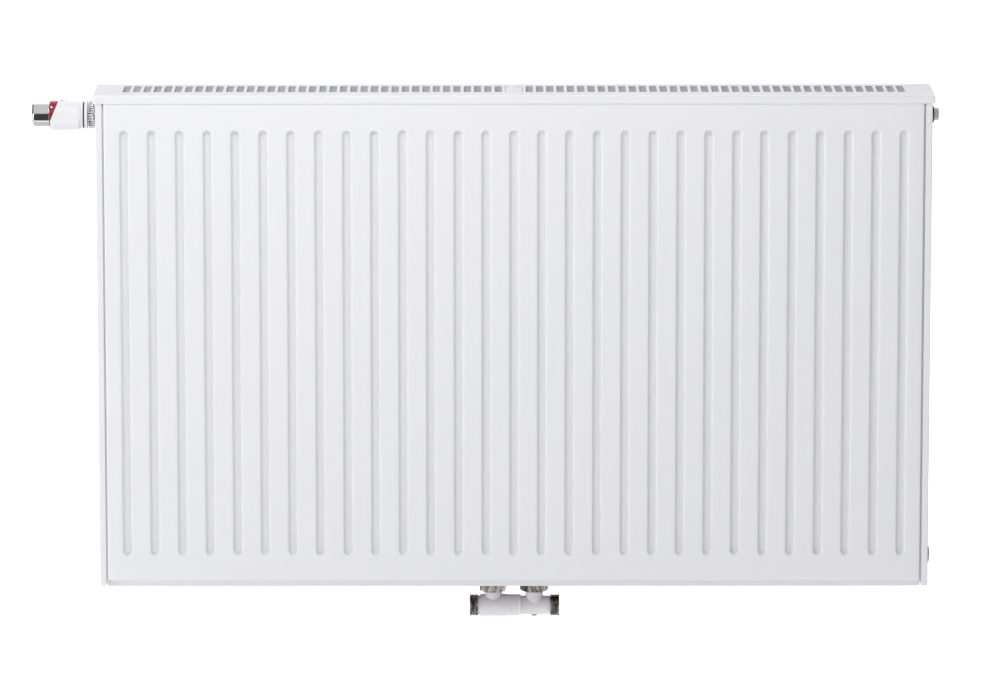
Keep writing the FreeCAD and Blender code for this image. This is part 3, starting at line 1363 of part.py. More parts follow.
def build():
    water_panels()
    convector("front_convector", FRONT_INNER_Y, TURNED)
    convector("rear_convector", REAR_INNER_Y, FORWARD)
    top_grille()
    grille_bridge()
    side_cover("left_side_cover", -1, size("valve_hole"))
    side_cover("right_side_cover", 1, size("plug_hole"))
    for row, level in (("upper", 1), ("lower", -1)):
        for hand, side in (("left", -1), ("right", 1)):
            hanging_lug(f"{row}_{hand}_lug", side, level)
    plain_tees()
    valve_tee()
    valve_insert()
    valve_gland()
    valve_stem()
    valve_spring()
    head_union_nut()
    head_base()
    head_sleeve()
    setting_knob()
    head_sensor()
    tapping_gaskets()
    vent_plug()
    vent_nozzle()
    vent_screw()
    blind_plug("lower_left_plug", TURNED, size("plug_flush_end"))
    blind_plug("lower_right_plug", FORWARD, size("plug_proud_end"))
    centre_manifold()
    riser_pipe()
    for name, side, turn in (("flow", -1, FLOW_NUT_TURN), ("return", 1, RETURN_NUT_TURN)):
        nipple(name, size("branch") * side)
        union_nut(name, size("branch") * side, turn)
    union_seals()
    shutoff_block()


def check_document():
    """Stops if any object failed or any sub-part has no valid solid."""
    doc.recompute()
    for thing in doc.Objects:
        if {"Invalid", "Error"} & set(thing.State):
            raise ValueError(f"{thing.Label} failed: {thing.State}")
    for node in NODES:
        shape = node.Shape
        if shape.isNull() or not shape.isValid() or not shape.Solids:
            raise ValueError(f"{node.Label} has no valid solid")


def write_parts():
    """Writes one file for each sub-part, named by its label."""
    os.makedirs("parts", exist_ok=True)
    for node in NODES:
        node.Shape.exportStep(os.path.join("parts", node.Label + ".step"))
        print(f"{node.Label}: {len(node.Shape.Solids)} solid, {node.Shape.Volume:.0f} mm3")


build()
check_document()
write_parts()
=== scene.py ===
import math

import bmesh
import bpy
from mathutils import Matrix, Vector
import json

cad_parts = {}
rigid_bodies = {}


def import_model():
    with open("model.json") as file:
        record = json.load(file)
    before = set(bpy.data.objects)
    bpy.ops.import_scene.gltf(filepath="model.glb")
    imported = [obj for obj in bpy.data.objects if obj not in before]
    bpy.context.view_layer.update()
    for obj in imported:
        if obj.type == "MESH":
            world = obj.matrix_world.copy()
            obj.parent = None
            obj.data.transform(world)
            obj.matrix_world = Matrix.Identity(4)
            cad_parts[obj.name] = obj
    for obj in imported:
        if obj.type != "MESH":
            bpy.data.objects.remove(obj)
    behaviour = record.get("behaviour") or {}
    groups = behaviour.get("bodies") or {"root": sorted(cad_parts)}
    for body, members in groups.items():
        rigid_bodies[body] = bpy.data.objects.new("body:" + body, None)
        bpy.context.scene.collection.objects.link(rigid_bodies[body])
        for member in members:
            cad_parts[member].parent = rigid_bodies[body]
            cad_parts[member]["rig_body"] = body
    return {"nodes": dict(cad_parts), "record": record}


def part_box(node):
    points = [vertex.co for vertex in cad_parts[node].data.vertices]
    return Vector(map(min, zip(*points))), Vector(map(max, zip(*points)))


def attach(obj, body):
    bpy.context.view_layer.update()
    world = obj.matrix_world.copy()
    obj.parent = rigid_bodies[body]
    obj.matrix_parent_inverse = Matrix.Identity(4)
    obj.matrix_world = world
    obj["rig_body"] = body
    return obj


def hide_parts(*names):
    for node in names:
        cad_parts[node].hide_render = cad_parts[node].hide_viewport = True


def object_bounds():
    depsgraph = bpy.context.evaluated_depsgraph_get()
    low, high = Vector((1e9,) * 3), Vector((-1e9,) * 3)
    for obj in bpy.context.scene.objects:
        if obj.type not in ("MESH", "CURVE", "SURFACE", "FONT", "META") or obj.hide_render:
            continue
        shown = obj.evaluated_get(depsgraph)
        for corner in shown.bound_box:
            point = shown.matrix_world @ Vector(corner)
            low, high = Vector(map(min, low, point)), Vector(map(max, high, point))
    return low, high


# The looks of a wall-hung panel radiator with a thermostatic head at its upper
# left corner and an H-shaped shut-off block below. Metres, +Z up, the room on
# the -Y side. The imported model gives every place; this script makes the finer
# meshes, the materials, the studio and the camera.

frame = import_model()
cad_low, cad_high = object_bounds()

MM = 0.001
LEFT, RIGHT = -1, 1
WHITE = (1, 1, 1, 1)
SCENE = bpy.context.scene
SLOT_OF = {part["node"]: part["material_slot"] for part in frame["record"]["subparts"]}

# -------------------------------------------------------------- materials


def shader_of(material):
    return material.node_tree.nodes["Principled BSDF"]


def scaled(colour, factor):
    return tuple(channel * factor for channel in colour)


def plain_material(name, colour, roughness, metallic=0.0):
    """A material whose even values sit on the shader's own sockets."""
    material = bpy.data.materials.new(name)
    material.use_nodes = True
    shader = shader_of(material)
    shader.inputs["Base Color"].default_value = (*colour, 1.0)
    shader.inputs["Roughness"].default_value = roughness
    shader.inputs["Metallic"].default_value = metallic
    return material


def noise(material, scale, detail=3.0, stretch=(1, 1, 1)):
    """Noise in the piece's own space, with about scale cells to a metre."""
    tree = material.node_tree
    place = tree.nodes.new("ShaderNodeTexCoord")
    mapping = tree.nodes.new("ShaderNodeMapping")
    mapping.inputs["Scale"].default_value = stretch
    texture = tree.nodes.new("ShaderNodeTexNoise")
    texture.inputs["Scale"].default_value = scale
    texture.inputs["Detail"].default_value = detail
    tree.links.new(place.outputs["Object"], mapping.inputs["Vector"])
    tree.links.new(mapping.outputs["Vector"], texture.inputs["Vector"])
    return texture.outputs["Fac"]


def vary_roughness(material, value, low, high):
    """Spreads the middle of a noise over a range of roughness."""
    tree = material.node_tree
    spread = tree.nodes.new("ShaderNodeMapRange")
    spread.inputs["From Min"].default_value = 0.3
    spread.inputs["From Max"].default_value = 0.7
    spread.inputs["To Min"].default_value = low
    spread.inputs["To Max"].default_value = high
    tree.links.new(value, spread.inputs["Value"])
    tree.links.new(spread.outputs["Result"], shader_of(material).inputs["Roughness"])


def vary_colour(material, value, first, second):
    """Lets the colour wander between two that are close to each other."""
    tree = material.node_tree
    ramp = tree.nodes.new("ShaderNodeValToRGB")
    for element, place, colour in zip(ramp.color_ramp.elements, (0.35, 0.65), (first, second)):
        element.position = place
        element.color = (*colour, 1.0)
    tree.links.new(value, ramp.inputs["Fac"])
    tree.links.new(ramp.outputs["Color"], shader_of(material).inputs["Base Color"])


def add_bump(material, value, height):
    """Raises the surface by a noise, up to a height in metres."""
    tree = material.node_tree
    bump = tree.nodes.new("ShaderNodeBump")
    bump.inputs["Distance"].default_value = height
    tree.links.new(value, bump.inputs["Height"])
    tree.links.new(bump.outputs["Normal"], shader_of(material).inputs["Normal"])


def enamel(name, colour, peel=0.012 * MM):
    """Stove enamel on steel: satin, with the faint peel of sprayed paint."""
    material = plain_material(name, colour, 0.34)
    cooler = (colour[0] * 0.99, colour[1] * 0.993, colour[2])
    vary_colour(material, noise(material, 5, 2), colour, cooler)
    vary_roughness(material, noise(material, 60), 0.30, 0.38)
    add_bump(material, noise(material, 420, 2), peel)
    return material


def lacquer(name, colour):
    """Lacquer over a brass casting, which still shows a little grain."""
    material = plain_material(name, colour, 0.42)
    vary_colour(material, noise(material, 90, 4), scaled(colour, 0.965), colour)
    vary_roughness(material, noise(material, 300), 0.36, 0.50)
    add_bump(material, noise(material, 1400, 4), 0.035 * MM)
    return material


def plastic(name, colour, roughness, grain=0.01 * MM):
    """Moulded plastic with a fine spark-eroded grain."""
    material = plain_material(name, colour, roughness)
    vary_colour(material, noise(material, 40, 2), scaled(colour, 0.97), colour)
    vary_roughness(material, noise(material, 700), roughness * 0.85, roughness * 1.2)
    add_bump(material, noise(material, 3000, 3), grain)
    return material


def metal(name, colour, roughness, turned=0.0, stain=0.9):
    """Bare or plated metal; turned is the depth of the lathe marks round its X axis.

    The stain is how dark its cloudy patches are, where 1 is the colour itself.
    """
    material = plain_material(name, colour, roughness, 1.0)
    vary_colour(material, noise(material, 160, 4), scaled(colour, stain), colour)
    vary_roughness(material, noise(material, 500, 4), roughness * 0.8, roughness * 1.3)
    if turned:
        marks = noise(material, 500, 2, stretch=(9, 0.4, 0.4))
        add_bump(material, marks, turned)
    return material


def satin(name, colour):
    """Satin nickel, clouded enough to look pale from any side."""
    material = metal(name, colour, 0.4, turned=0.01 * MM)
    shader_of(material).inputs["Metallic"].default_value = 0.35
    return material


def tarnished(name, dark, light):
    """Nickel plating that has gone dark in streaks."""
    material = plain_material(name, light, 0.22, 1.0)
    streaks = noise(material, 230, 3, stretch=(1, 1, 0.3))
    vary_colour(material, streaks, dark, light)
    vary_roughness(material, noise(material, 500, 4), 0.16, 0.34)
    add_bump(material, noise(material, 900, 3), 0.012 * MM)
    return material


def rubber(name, colour):
    """Moulded rubber, matt and a little dusty."""
    material = plain_material(name, colour, 0.7)
    vary_colour(material, noise(material, 300, 4), colour, scaled(colour, 1.5))
    vary_roughness(material, noise(material, 900), 0.6, 0.85)
    add_bump(material, noise(material, 2500), 0.02 * MM)
    return material


MATERIALS = {
    "white_enamel": enamel("white_enamel", (0.79, 0.79, 0.815)),
    "fin_enamel": enamel("fin_enamel", (0.70, 0.70, 0.72)),
    "fitting_enamel": enamel("fitting_enamel", (0.76, 0.76, 0.78), peel=0.03 * MM),
    "white_lacquer": lacquer("white_lacquer", (0.74, 0.725, 0.75)),
    "white_plastic": plastic("white_plastic", (0.78, 0.78, 0.80), 0.32),
    "red_plastic": plastic("red_plastic", (0.30, 0.004, 0.022), 0.25),
    "grey_plastic": plastic("grey_plastic", (0.62, 0.605, 0.59), 0.45),
    "chrome": metal("chrome", (0.76, 0.76, 0.77), 0.07, stain=0.97),
    "nickel_brass": satin("nickel_brass", (0.66, 0.64, 0.60)),
    "dark_nickel": tarnished("dark_nickel", (0.06, 0.045, 0.042), (0.42, 0.385, 0.375)),
    "plain_brass": metal("plain_brass", (0.42, 0.34, 0.22), 0.35, turned=0.01 * MM, stain=0.6),
    "stainless": metal("stainless", (0.58, 0.58, 0.59), 0.25, turned=0.008 * MM),
    "spring_steel": metal("spring_steel", (0.42, 0.42, 0.44), 0.3),
    "capsule_aluminium": metal("capsule_aluminium", (0.70, 0.70, 0.71), 0.3, turned=0.01 * MM),
    "black_rubber": rubber("black_rubber", (0.03, 0.03, 0.033)),
    "dark_print": plastic("dark_print", (0.12, 0.12, 0.13), 0.5),
    # The pale white on the next line is painted highlight, for the spot on the red ring and
    # the lines at the collar's seams.
    "highlight_white": plastic("highlight_white", (0.93, 0.92, 0.92), 0.4),
}

for node_name, node in frame["nodes"].items():
    for holder in node.material_slots:
        holder.material = MATERIALS[SLOT_OF[node_name]]

# ----------------------------------------------------------- mesh helpers


def make_piece(name, mesh, body, material, smooth_below=35):
    """Turns a bmesh into a piece that rides on a body."""
    bmesh.ops.recalc_face_normals(mesh, faces=mesh.faces)
    data = bpy.data.meshes.new(name)
    mesh.to_mesh(data)
    mesh.free()
    data.shade_smooth()
    data.set_sharp_from_angle(angle=math.radians(smooth_below))
    data.materials.append(MATERIALS[material])
    piece = bpy.data.objects.new(name, data)
    SCENE.collection.objects.link(piece)
    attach(piece, body)
    return piece


def stand_in(name, mesh, node, smooth_below=35):
    """A piece that takes a CAD node's place, its body and its material."""
    slot = SLOT_OF[node]
    piece = make_piece(name, mesh, frame["nodes"][node]["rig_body"], slot, smooth_below)
    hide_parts(node)
    return piece


def weigh_normals(piece):
    """Keeps flat faces flat next to their rounded edges."""
    weighting = piece.modifiers.new("weighted", "WEIGHTED_NORMAL")
    weighting.keep_sharp = True


def soften(node, width):
    """A CAD node's own shape with its sharp edges broken."""
    flat, sharp = math.radians(0.5), math.radians(30)
    mesh = bmesh.new()
    mesh.from_mesh(frame["nodes"][node].data)
    bmesh.ops.remove_doubles(mesh, verts=mesh.verts, dist=0.002 * MM)
    bmesh.ops.dissolve_limit(mesh, angle_limit=flat, verts=mesh.verts, edges=mesh.edges)
    edges = [e for e in mesh.edges if len(e.link_faces) == 2 and e.calc_face_angle(0) > sharp]
    bmesh.ops.bevel(
        mesh, geom=edges, offset=width, segments=2, profile=0.5,
        affect="EDGES", clamp_overlap=True,
    )
    weigh_normals(stand_in(node + "_finish", mesh, node))


def smoothstep(value):
    """An S-shaped rise from 0 to 1."""
    value = min(max(value, 0.0), 1.0)
    return value * value * (3 - 2 * value)


def rounded(outline, radius, steps):
    """A closed outline with its corners turned into short curves.

    A corner on the axis, or one with no room for a curve, stays as it is.
    """
    tiny = 1e-6
    made = []
    count = len(outline)
    for i, corner in enumerate(outline):
        corner = Vector(corner)
        before = Vector(outline[i - 1]) - corner
        after = Vector(outline[(i + 1) % count]) - corner
        cut = min(radius, before.length * 0.45, after.length * 0.45)
        if corner.y < tiny or cut < tiny:
            made.append(tuple(corner))
            continue
        start = corner + before.normalized() * cut
        end = corner + after.normalized() * cut
        for k in range(steps + 1):
            t = k / steps
            point = start * (1 - t) ** 2 + corner * 2 * t * (1 - t) + end * t**2
            made.append(tuple(point))
    return made


def around(centre, x, radius, angle):
    """A point about the X axis through centre: 0 is the front, a quarter turn the top."""
    y = centre.y - radius * math.cos(angle)
    z = centre.z + radius * math.sin(angle)
    return Vector((x, y, z))


def spin(outline_at, centre, side, steps=96):
    """A mesh turned about the X axis through centre.

    outline_at(angle) gives the closed outline as (station, radius) points,
    with stations measured outward from the radiator's middle.
    """
    mesh = bmesh.new()
    rings = []
    for k in range(steps):
        angle = 2 * math.pi * k / steps
        points = [around(centre, side * station, r, angle) for station, r in outline_at(angle)]
        rings.append([mesh.verts.new(point) for point in points])
    count = len(rings[0])
    for k in range(steps):
        here, there = rings[k], rings[(k + 1) % steps]
        for i in range(count):
            j = (i + 1) % count
            mesh.faces.new((here[i], here[j], there[j], there[i]))
    bmesh.ops.remove_doubles(mesh, verts=mesh.verts, dist=0.001 * MM)
    return mesh


def lathe(outline, centre, side, steps=96):
    """A mesh turned from one outline, the same at every angle."""
    return spin(lambda angle: outline, centre, side, steps)


def prism(first, last):
    """A closed mesh between two like outlines of points."""
    mesh = bmesh.new()
    near, far = [[mesh.verts.new(point) for point in outline] for outline in (first, last)]
    mesh.faces.new(near)
    mesh.faces.new(far)
    for i in range(len(near)):
        j = (i + 1) % len(near)
        mesh.faces.new((near[i], near[j], far[j], far[i]))
    return mesh


def middle(node):
    low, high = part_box(node)
    return (low + high) / 2


def reach(node):
    """A turned node's inner and outer stations and its radius."""
    low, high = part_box(node)
    stations = sorted((abs(low.x), abs(high.x)))
    return stations[0], stations[1], (high.z - low.z) / 2


# ----------------------------------------------------------- water panels

PANEL_LOW, PANEL_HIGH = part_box("front_outer_sheet")
NOMINAL_LENGTH = 1.0
COLUMNS = 30
PITCH = NOMINAL_LENGTH / COLUMNS
GAUGE = 1.25 * MM
GROOVE_TOP, GROOVE_LOW = PANEL_HIGH.z - 40 * MM, PANEL_LOW.z + 39 * MM
GROOVE_HALF, GROOVE_FLOOR = 6.1 * MM, 2.7 * MM
FLAT_MARGIN = 0.6 * MM
SEAM_FLAT, SEAM_RISE = 7.0 * MM, 2.4 * MM
TOP_FLAT = 4.6 * MM
EDGE_ROUND = 2.4 * MM
CREST_REACH = 5.8 * MM
CREST_MARGIN = 1.3 * MM
CORNER_ROUND = 5 * MM


def spaced(start, end, count):
    """Evenly spaced values from start up to, but not including, end."""
    return [start + (end - start) * k / count for k in range(count)]


def sheet_columns(half):
    """Stations across a panel: close together over each groove's walls."""
    steps = 6
    turns = [math.pi / 2 * k / steps for k in range(steps + 1)]
    edge = [-half + EDGE_ROUND * (1 - math.cos(turn)) for turn in turns]
    xs = list(edge)
    for i in range(1, COLUMNS):
        centre = (i - COLUMNS / 2) * PITCH
        xs.append(centre - GROOVE_HALF - FLAT_MARGIN)
        xs += spaced(centre - GROOVE_HALF, centre - GROOVE_FLOOR, 9)
        xs += [centre - GROOVE_FLOOR, centre, centre + GROOVE_FLOOR]
        xs += spaced(centre + GROOVE_HALF, centre + GROOVE_FLOOR, 9)[::-1]
        xs.append(centre + GROOVE_HALF + FLAT_MARGIN)
    return xs + [-x for x in reversed(edge)]


def sheet_rows(low, high):
    """Heights up a panel: close together at the seams and the groove ends."""
    arc = CREST_REACH + 1.4 * MM
    foot, head = GROOVE_LOW - CREST_MARGIN, GROOVE_TOP + CREST_MARGIN
    rows = spaced(low, low + CORNER_ROUND, 5)
    rows += spaced(low + CORNER_ROUND, low + SEAM_FLAT, 2)
    rows += spaced(low + SEAM_FLAT, low + SEAM_FLAT + SEAM_RISE, 6)
    rows += [low + SEAM_FLAT + SEAM_RISE, low + SEAM_FLAT + SEAM_RISE + FLAT_MARGIN]
    rows += spaced(foot, GROOVE_LOW + arc, 12)
    rows += spaced(GROOVE_LOW + arc, GROOVE_TOP - arc, 8)
    rows += spaced(GROOVE_TOP - arc, head, 12)
    rows += [head, high - TOP_FLAT - SEAM_RISE - FLAT_MARGIN]
    rows += spaced(high - TOP_FLAT - SEAM_RISE, high - TOP_FLAT, 6)
    rows.append(high - TOP_FLAT)
    return rows + spaced(high, high - TOP_FLAT, 5)[::-1]


def groove_share(x, z):
    """How far into a groove a point is, from 0 on the crest to 1 on its floor."""
    nearest = round(x / PITCH)
    if abs(nearest) > COLUMNS // 2 - 1:
        return 0.0
    across = x - nearest * PITCH
    above = max(z - (GROOVE_TOP - CREST_REACH), 0.0)
    below = max((GROOVE_LOW + CREST_REACH) - z, 0.0)
    distance = math.hypot(across, above + below)
    return smoothstep((GROOVE_HALF - distance) / (GROOVE_HALF - GROOVE_FLOOR))


def corner_pull(z, low, high):
    """How far a rounded corner draws the sheet's side edge in at a height."""
    short = CORNER_ROUND - min(z - low, high - z)
    if short <= 0:
        return 0.0
    return CORNER_ROUND - math.sqrt(CORNER_ROUND**2 - short**2)


def sheet_rise(x, z, half, low, high, pressing):
    """Height of the pressed surface above the seam plane."""
    inward = half - abs(x)
    rise = pressing - (pressing - GAUGE) * groove_share(x, z)
    if inward < EDGE_ROUND:
        short = EDGE_ROUND - inward
        rise -= EDGE_ROUND - math.sqrt(max(EDGE_ROUND**2 - short**2, 0.0))
    from_seam = min(z - low - SEAM_FLAT, high - z - TOP_FLAT)
    return GAUGE + (rise - GAUGE) * smoothstep(from_seam / SEAM_RISE)


def pressed_sheet(node, towards_room):
    """A panel's outer sheet, pressed into columns with soft-edged grooves."""
    low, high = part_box(node)
    half, pressing = high.x, high.y - low.y
    seam = high.y if towards_room else low.y
    sign = -1 if towards_room else 1
    xs = sheet_columns(half)
    mesh = bmesh.new()
    grid = []
    for z in sheet_rows(low.z, high.z):
        narrower = 1 - corner_pull(z, low.z, high.z) / half
        line = [mesh.verts.new((-half * narrower, seam + sign * GAUGE, z))]
        for x in xs:
            rise = sheet_rise(x, z, half, low.z, high.z, pressing)
            line.append(mesh.verts.new((x * narrower, seam + sign * rise, z)))
        line.append(mesh.verts.new((half * narrower, seam + sign * GAUGE, z)))
        grid.append(line)
    for lower, upper in zip(grid, grid[1:]):
        for i in range(len(lower) - 1):
            mesh.faces.new((lower[i], lower[i + 1], upper[i + 1], upper[i]))
    bmesh.ops.remove_doubles(mesh, verts=mesh.verts, dist=0.001 * MM)
    piece = stand_in(node + "_pressed", mesh, node, smooth_below=60)
    thickness = piece.modifiers.new("gauge", "SOLIDIFY")
    thickness.thickness = GAUGE
    thickness.offset = -1


pressed_sheet("front_outer_sheet", towards_room=True)
pressed_sheet("rear_outer_sheet", towards_room=False)

# ----------------------------------------------------------------- covers


def grille_flange():
    """The grille's folded stiffener behind its slots, which shows pale through them."""
    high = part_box("top_grille")[1]
    half = high.x - 11.5 * MM
    slot_end = high.y - 19 * MM
    back, front = slot_end + 1.2 * MM, slot_end + 0.5 * MM
    lip, fold = slot_end - 0.4 * MM, slot_end + 0.1 * MM
    top = high.z - GAUGE
    foot = top - 11 * MM
    profile = [(back, top), (back, foot), (lip, foot), (lip, foot + GAUGE)]
    profile += [(fold, foot + GAUGE), (front, foot + 2 * GAUGE), (front, top)]
    mesh = prism(*[[(x, y, z) for y, z in profile] for x in (-half, half)])
    make_piece("grille_flange", mesh, "radiator", "white_enamel")


def edge_strip(side):
    """A pale strip behind the narrow gap between the front panel and a side cover."""
    name = {LEFT: "left", RIGHT: "right"}[side]
    low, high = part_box(name + "_side_cover")
    recess, thick, wide, play = 3.1 * MM, 0.8 * MM, 5 * MM, 0.1 * MM
    first, last = PANEL_HIGH.x + play, PANEL_HIGH.x + wide
    front, back = low.y + recess, low.y + recess + thick
    foot, head = low.z + 2 * MM, high.z - 1 * MM
    outline = [(first, front), (last, front), (last, back), (first, back)]
    mesh = prism(*[[(side * x, y, z) for x, y in outline] for z in (foot, head)])
    make_piece(name + "_edge_strip", mesh, "radiator", "white_enamel")


grille_flange()
edge_strip(LEFT)
edge_strip(RIGHT)
soften("top_grille", 0.35 * MM)
soften("left_side_cover", 0.3 * MM)
soften("right_side_cover", 0.3 * MM)
soften("grille_support_bridge", 0.3 * MM)
for corner in ("upper_left", "upper_right", "lower_left", "lower_right"):
    soften(corner + "_lug", 0.3 * MM)

# ------------------------------------------------------- thermostatic head

HEAD = middle("end_cap")
HEAD_STEPS = 128


def end_cap():
    """The chrome cap: a rounded shoulder and a shallow dished end."""
    start, end, radius = reach("end_cap")
    wall, bevel, dish, land, slope = 1.4 * MM, 2.6 * MM, 0.5 * MM, 1.0 * MM, 0.8 * MM
    rim, floor = radius - bevel, end - dish
    outline = [(start, radius - wall), (start, radius), (end - bevel, radius)]
    outline += [(end, rim), (end, rim - land), (floor, rim - land - slope)]
    outline += [(floor, 0), (floor - wall, 0)]
    outline += [(floor - wall, rim - wall), (end - bevel - wall, radius - wall)]
    mesh = lathe(rounded(outline, 1.0 * MM, 5), HEAD, LEFT, HEAD_STEPS)
    stand_in("end_cap_chromed", mesh, "end_cap", smooth_below=50)


def union_nut():
    """The knurled nut: two fluted bands with a plain groove between them."""
    start, end, radius = reach("head_union_nut")
    bore, flutes, depth, roundness = 14.97 * MM, 36, 0.75 * MM, 0.6
    eye, lip = 13.15 * MM, end - 3 * MM
    bevel, groove, half = 0.9 * MM, (start + end) / 2, 0.8 * MM
    low = radius - depth

    def outline_at(angle):
        wave = 0.5 + 0.5 * math.cos(flutes * angle)
        fluted = radius - depth * wave**roundness
        return [
            (start, bore), (start, radius - bevel), (start + bevel * 0.5, low),
            (start + bevel, fluted), (groove - half, fluted), (groove - half * 0.6, low),
            (groove + half * 0.6, low), (groove + half, fluted), (end - bevel, fluted),
            (end - bevel * 0.5, low), (end, radius - bevel), (end, eye), (lip, eye),
            (lip, bore),
        ]

    mesh = spin(outline_at, HEAD, LEFT, flutes * 8)
    stand_in("head_union_nut_knurled", mesh, "head_union_nut", smooth_below=50)


SLEEVE_START, SLEEVE_END, SLEEVE_LARGE = reach("head_sleeve")
SLEEVE_SMALL = 18.3 * MM
SLEEVE_WALL = 1.4 * MM
WINDOW_TOP, WINDOW_LOW = SLEEVE_END - 10.3 * MM, -5.5 * MM
WINDOW_LEAN = (SLEEVE_END - WINDOW_TOP) / (SLEEVE_LARGE - WINDOW_LOW)


def sleeve_radius(station):
    """The widening sleeve's outer radius."""
    share = (station - SLEEVE_START) / (SLEEVE_END - SLEEVE_START)
    return SLEEVE_SMALL + (SLEEVE_LARGE - SLEEVE_SMALL) * share


def sleeve_stop(height):
    """Where the slanted cut ends the sleeve, at a height above its axis."""
    return min(SLEEVE_END, WINDOW_TOP + WINDOW_LEAN * (SLEEVE_LARGE - height))


def head_sleeve():
    """The white sleeve, its open end cut off at a slant."""
    snug, shoulder = 16.65 * MM, SLEEVE_START + 4.5 * MM
    edge = 0.4 * MM

    def outline_at(angle):
        up = math.sin(angle)
        outer_stop = sleeve_stop(SLEEVE_LARGE * up)
        inner_stop = sleeve_stop((SLEEVE_LARGE - SLEEVE_WALL) * up)
        outer = sleeve_radius(outer_stop)
        inner = outer - SLEEVE_WALL
        outline = [
            (SLEEVE_START, snug), (SLEEVE_START, SLEEVE_SMALL - edge),
            (SLEEVE_START + edge * 0.3, SLEEVE_SMALL - edge * 0.3),
            (SLEEVE_START + edge, sleeve_radius(SLEEVE_START + edge)),
        ]
        first, last = SLEEVE_START + edge, outer_stop - edge
        for k in range(1, 9):
            station = first + (last - first) * k / 8
            outline.append((station, sleeve_radius(station)))
        outline += [
            (outer_stop - edge * 0.3, outer - edge * 0.3), (outer_stop, outer - edge),
            (inner_stop, inner + edge), (inner_stop - edge, inner),
            (shoulder, SLEEVE_SMALL - SLEEVE_WALL), (shoulder, snug),
        ]
        return outline

    mesh = spin(outline_at, HEAD, LEFT, HEAD_STEPS)
    stand_in("head_sleeve_moulded", mesh, "head_sleeve", smooth_below=50)


def onto_sleeve(point, station, angle, lift):
    """Wraps a flat drawing's point round the sleeve at a station and angle.

    The drawing's right is away from the cap and its top is further over.
    """
    station = station - point.x
    radius = sleeve_radius(station)
    turn = angle + point.y / radius
    return around(HEAD, -station, radius + lift + point.z, turn)


DIGIT_STATION = SLEEVE_START + 15.5 * MM
DIGIT_SIZE, PRINT_LIFT = 5.2 * MM, 0.03 * MM
FIRST_DIGIT, DIGIT_STEP = math.radians(71), math.radians(30)


def print_digit(text, angle):
    """A generic dial number, printed round the sleeve."""
    curve = bpy.data.curves.new("digit_" + text, "FONT")
    curve.body = text
    curve.size = DIGIT_SIZE
    curve.align_x = "CENTER"
    curve.align_y = "CENTER"
    curve.extrude = PRINT_LIFT
    curve.resolution_u = 4
    holder = bpy.data.objects.new("digit_" + text, curve)
    SCENE.collection.objects.link(holder)
    bpy.context.view_layer.update()
    flat = holder.evaluated_get(bpy.context.evaluated_depsgraph_get())
    mesh = bmesh.new()
    mesh.from_mesh(bpy.data.meshes.new_from_object(flat))
    bpy.data.objects.remove(holder)
    long_edges = [e for e in mesh.edges if e.calc_length() > 1.5 * MM]
    bmesh.ops.subdivide_edges(mesh, edges=long_edges, cuts=2)
    for vertex in mesh.verts:
        vertex.co = onto_sleeve(vertex.co, DIGIT_STATION, angle, PRINT_LIFT)
    make_piece("dial_digit_" + text, mesh, "radiator", "dark_print")


def print_tick(number, angle):
    """The short line that leads from a number to the setting ring."""
    long, thin, thick, inset = 2.2 * MM, 0.45 * MM, 0.05 * MM, 4 * MM
    corners = [(-long, -thin), (long, -thin), (long, thin), (-long, thin)]
    points = [Vector((x, y, 0)) for x, y in corners]
    station = sleeve_stop(SLEEVE_LARGE * math.sin(angle)) - inset
    under = [onto_sleeve(point, station, angle, -thick) for point in points]
    over = [onto_sleeve(point, station, angle, thick) for point in points]
    make_piece(f"dial_tick_{number}", prism(under, over), "radiator", "dark_print")


def dial():
    """The numbers 1 to 5 and their lines, spaced round the sleeve."""
    for number in range(1, 6):
        angle = FIRST_DIGIT + DIGIT_STEP * (number - 1)
        print_digit(str(number), angle)
        print_tick(number, angle)


RING_START, RING_END, RING_RADIUS = reach("setting_ring")
RING_FACE = RING_END - 5.6 * MM


def setting_ring():
    """The red ring, with a fine step where the cap meets it."""
    start, end, radius, face = RING_START, RING_END, RING_RADIUS, RING_FACE
    bearing, spigot, throat = 13.56 * MM, 13.2 * MM, 11.9 * MM
    web, step = start + 6 * MM, 0.8 * MM
    outline = [
        (start, bearing), (start, radius), (face - step, radius), (face, radius - step),
        (face, spigot), (end, spigot), (end, throat), (web, throat), (web, bearing),
    ]
    mesh = lathe(rounded(outline, 0.3 * MM, 3), HEAD, LEFT, HEAD_STEPS)
    stand_in("setting_ring_moulded", mesh, "setting_ring", smooth_below=50)


def ring_marker():
    """A raised white spot on the red ring, 40 degrees up from the front: a painted highlight
    where the ring catches the light.
    """
    angle, station = math.radians(40), RING_FACE - 2.8 * MM
    half, lift, sink = 1.5 * MM, 0.12 * MM, 0.1 * MM
    outline = [(-half, 0), (half * 0.2, -half), (half, -half * 0.5), (half, half * 0.5)]
    outline.append((half * 0.2, half))

    def layer(radius):
        turns = [angle + across / RING_RADIUS for along, across in outline]
        places = [-station - along for along, across in outline]
        return [around(HEAD, x, radius, turn) for x, turn in zip(places, turns)]

    mesh = prism(layer(RING_RADIUS - sink), layer(RING_RADIUS + lift))
    # The white spot is a painted highlight on the red ring.
    make_piece("ring_marker", mesh, "setting_knob", "highlight_white")


def base_gap():
    """A black band at the bottom of the groove between the base's rings: painted shade in the
    groove.
    """
    start = reach("head_base")[0] + 12.2 * MM
    end, radius = start + 1.7 * MM, 15.3 * MM
    under, over = radius - 0.1 * MM, radius + 0.25 * MM
    outline = [(start, under), (start, over), (end, over), (end, under)]
    # The black band is painted shade at the bottom of the groove, given the rubber material.
    make_piece("base_groove_shade_band", lathe(outline, HEAD, LEFT), "radiator", "black_rubber")


def valve_spring():
    """The valve's spring, a little shorter than its place, for the stem's play."""
    low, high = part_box("valve_spring")
    play = 0.5 * MM
    mesh = bmesh.new()
    mesh.from_mesh(frame["nodes"]["valve_spring"].data)
    for vertex in mesh.verts:
        vertex.co.x += play * (high.x - vertex.co.x) / (high.x - low.x)
    stand_in("valve_spring_seated", mesh, "valve_spring")


